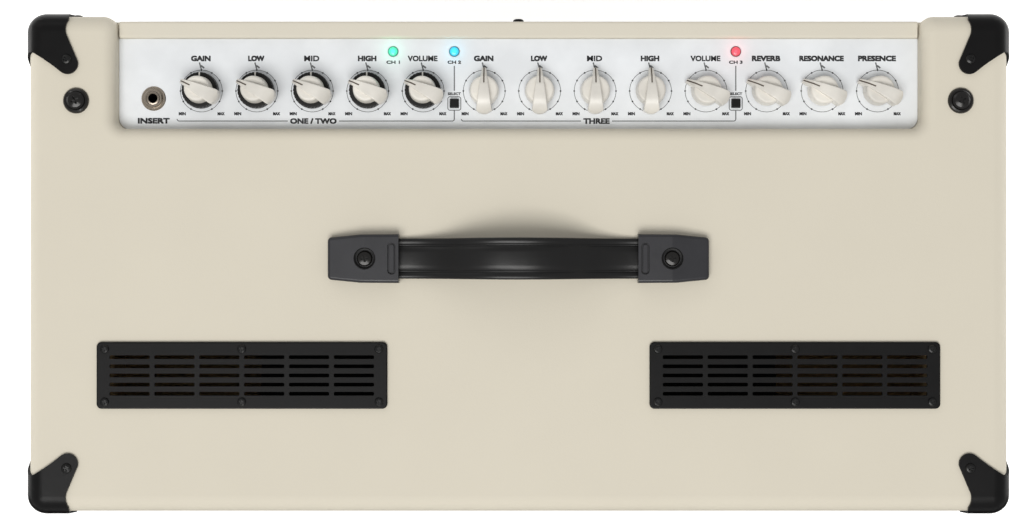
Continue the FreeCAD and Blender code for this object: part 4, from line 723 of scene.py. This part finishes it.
# ===== inside the tubes =============================================================================
def make_tube_parts():
    """Plates and spacers seen through the glass."""
    bm = bmesh.new()
    power_low, power_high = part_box("power_tubes")
    y = (power_low.y + power_high.y) / 2 / MM
    for x in POWER_TUBE_X:
        turned(bm, [(0.5, 0), (8.5, 0), (8.5, 44), (0.5, 44)], x, y, power_low.z + 20 * MM, 10)
        for dz in (18, 65):
            turned(bm, [(0.5, 0), (13.0, 0), (13.0, 0.8), (0.5, 0.8)], x, y, power_low.z + dz * MM, 24)
    low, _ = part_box("preamp_tubes")
    for i in range(PREAMPS):
        x = PREAMP_X + i * PREAMP_PITCH
        turned(bm, [(0.5, 0), (5.2, 0), (5.2, 22), (0.5, 22)], x, y, low.z + 15 * MM, 8)
        for dz in (13.6, 38):
            turned(bm, [(0.5, 0), (8.2, 0), (8.2, 0.7), (0.5, 0.7)], x, y, low.z + dz * MM, 20)
    add_mesh("tube_plates", bm, "cabinet", M["iron"])


# ===== camera, floor, light =========================================================================
def make_stage():
    """Pale paper under the object, a black card in front of it, and the camera above it."""
    bpy.ops.mesh.primitive_plane_add(size=6.0, location=(0, 0, 0))
    floor = bpy.context.object
    floor.name = "floor"
    paper = Surface("floor_paper", (0.93, 0.93, 0.93), 0.9, Specular_IOR_Level=0.1)
    paper.shader.inputs["Emission Color"].default_value = (1, 1, 1, 1)
    paper.shader.inputs["Emission Strength"].default_value = 0.58
    paper.bump(paper.noise(40.0), 0.05, 0.1)
    floor.data.materials.append(paper.material)

    # A black card just above the floor keeps bounced light off the front edge, as a studio flag
    # does. The camera does not see it, and it casts no shadow.
    bpy.ops.mesh.primitive_plane_add(size=1.0, location=(0, -0.78, 0.002))
    flag = bpy.context.object
    flag.name = "flag"
    flag.scale = (2.4, 1.1, 1)
    flag.visible_camera = False
    flag.visible_shadow = False
    card = Surface("flag_card", (0.01, 0.01, 0.01), 0.9, Specular_IOR_Level=0.1)
    card.bump(card.noise(60.0), 0.05, 0.1)
    flag.data.materials.append(card.material)

    camera = bpy.data.cameras.new("camera")
    holder = bpy.data.objects.new("camera", camera)
    bpy.context.collection.objects.link(holder)
    distance, frame_width = 1.25, 0.7380
    centre_x, centre_y = -0.0003, 0.0002
    camera.sensor_width = 36.0
    camera.lens = camera.sensor_width * distance / frame_width
    camera.clip_end = 20.0
    holder.location = (centre_x, centre_y, TOP_Z + distance)
    holder.rotation_euler = (0, 0, 0)
    bpy.context.scene.camera = holder


def area_light(name, location, target, size, power):
    """A faintly warm soft box that the camera does not see."""
    data = bpy.data.lights.new(name, "AREA")
    data.shape = "RECTANGLE"
    data.size, data.size_y = size
    data.energy = power
    data.color = (1.0, 0.99, 0.97)
    light = bpy.data.objects.new(name, data)
    bpy.context.collection.objects.link(light)
    light.location = location
    light.rotation_euler = (Vector(target) - Vector(location)).to_track_quat("-Z", "Y").to_euler()
    light.visible_camera = False


def make_light():
    """A white world, a large key in front, and weak strips behind and at both sides."""
    world = bpy.data.worlds.new("studio")
    world.use_nodes = True
    background = next(n for n in world.node_tree.nodes if n.type == "BACKGROUND")
    background.inputs["Color"].default_value = (1.0, 1.0, 1.0, 1)
    background.inputs["Strength"].default_value = 0.40
    bpy.context.scene.world = world
    area_light("key", (-0.7, -2.5, 5.65), (0, 0, 0.2), (4.4, 3.0), 240)
    area_light("rear_strip", (-0.4, 1.15, 0.9), (0, 0, 0.22), (1.7, 0.3), 1.3)
    area_light("left_strip", (-1.0, 0.1, 0.16), (0, 0, 0.2), (0.6, 0.2), 0.9)
    area_light("right_strip", (1.0, 0.1, 0.16), (0, 0, 0.2), (0.6, 0.2), 1.2)
    bpy.context.scene.view_settings.view_transform = "Standard"
    bpy.context.scene.view_settings.look = "None"


paint_nodes()
make_panel_print()
make_rear_print()
make_pointer_lines()
make_lamps()
make_collars()
make_seal()
make_strap()
make_cloth()
make_tube_parts()
make_stage()
make_light()
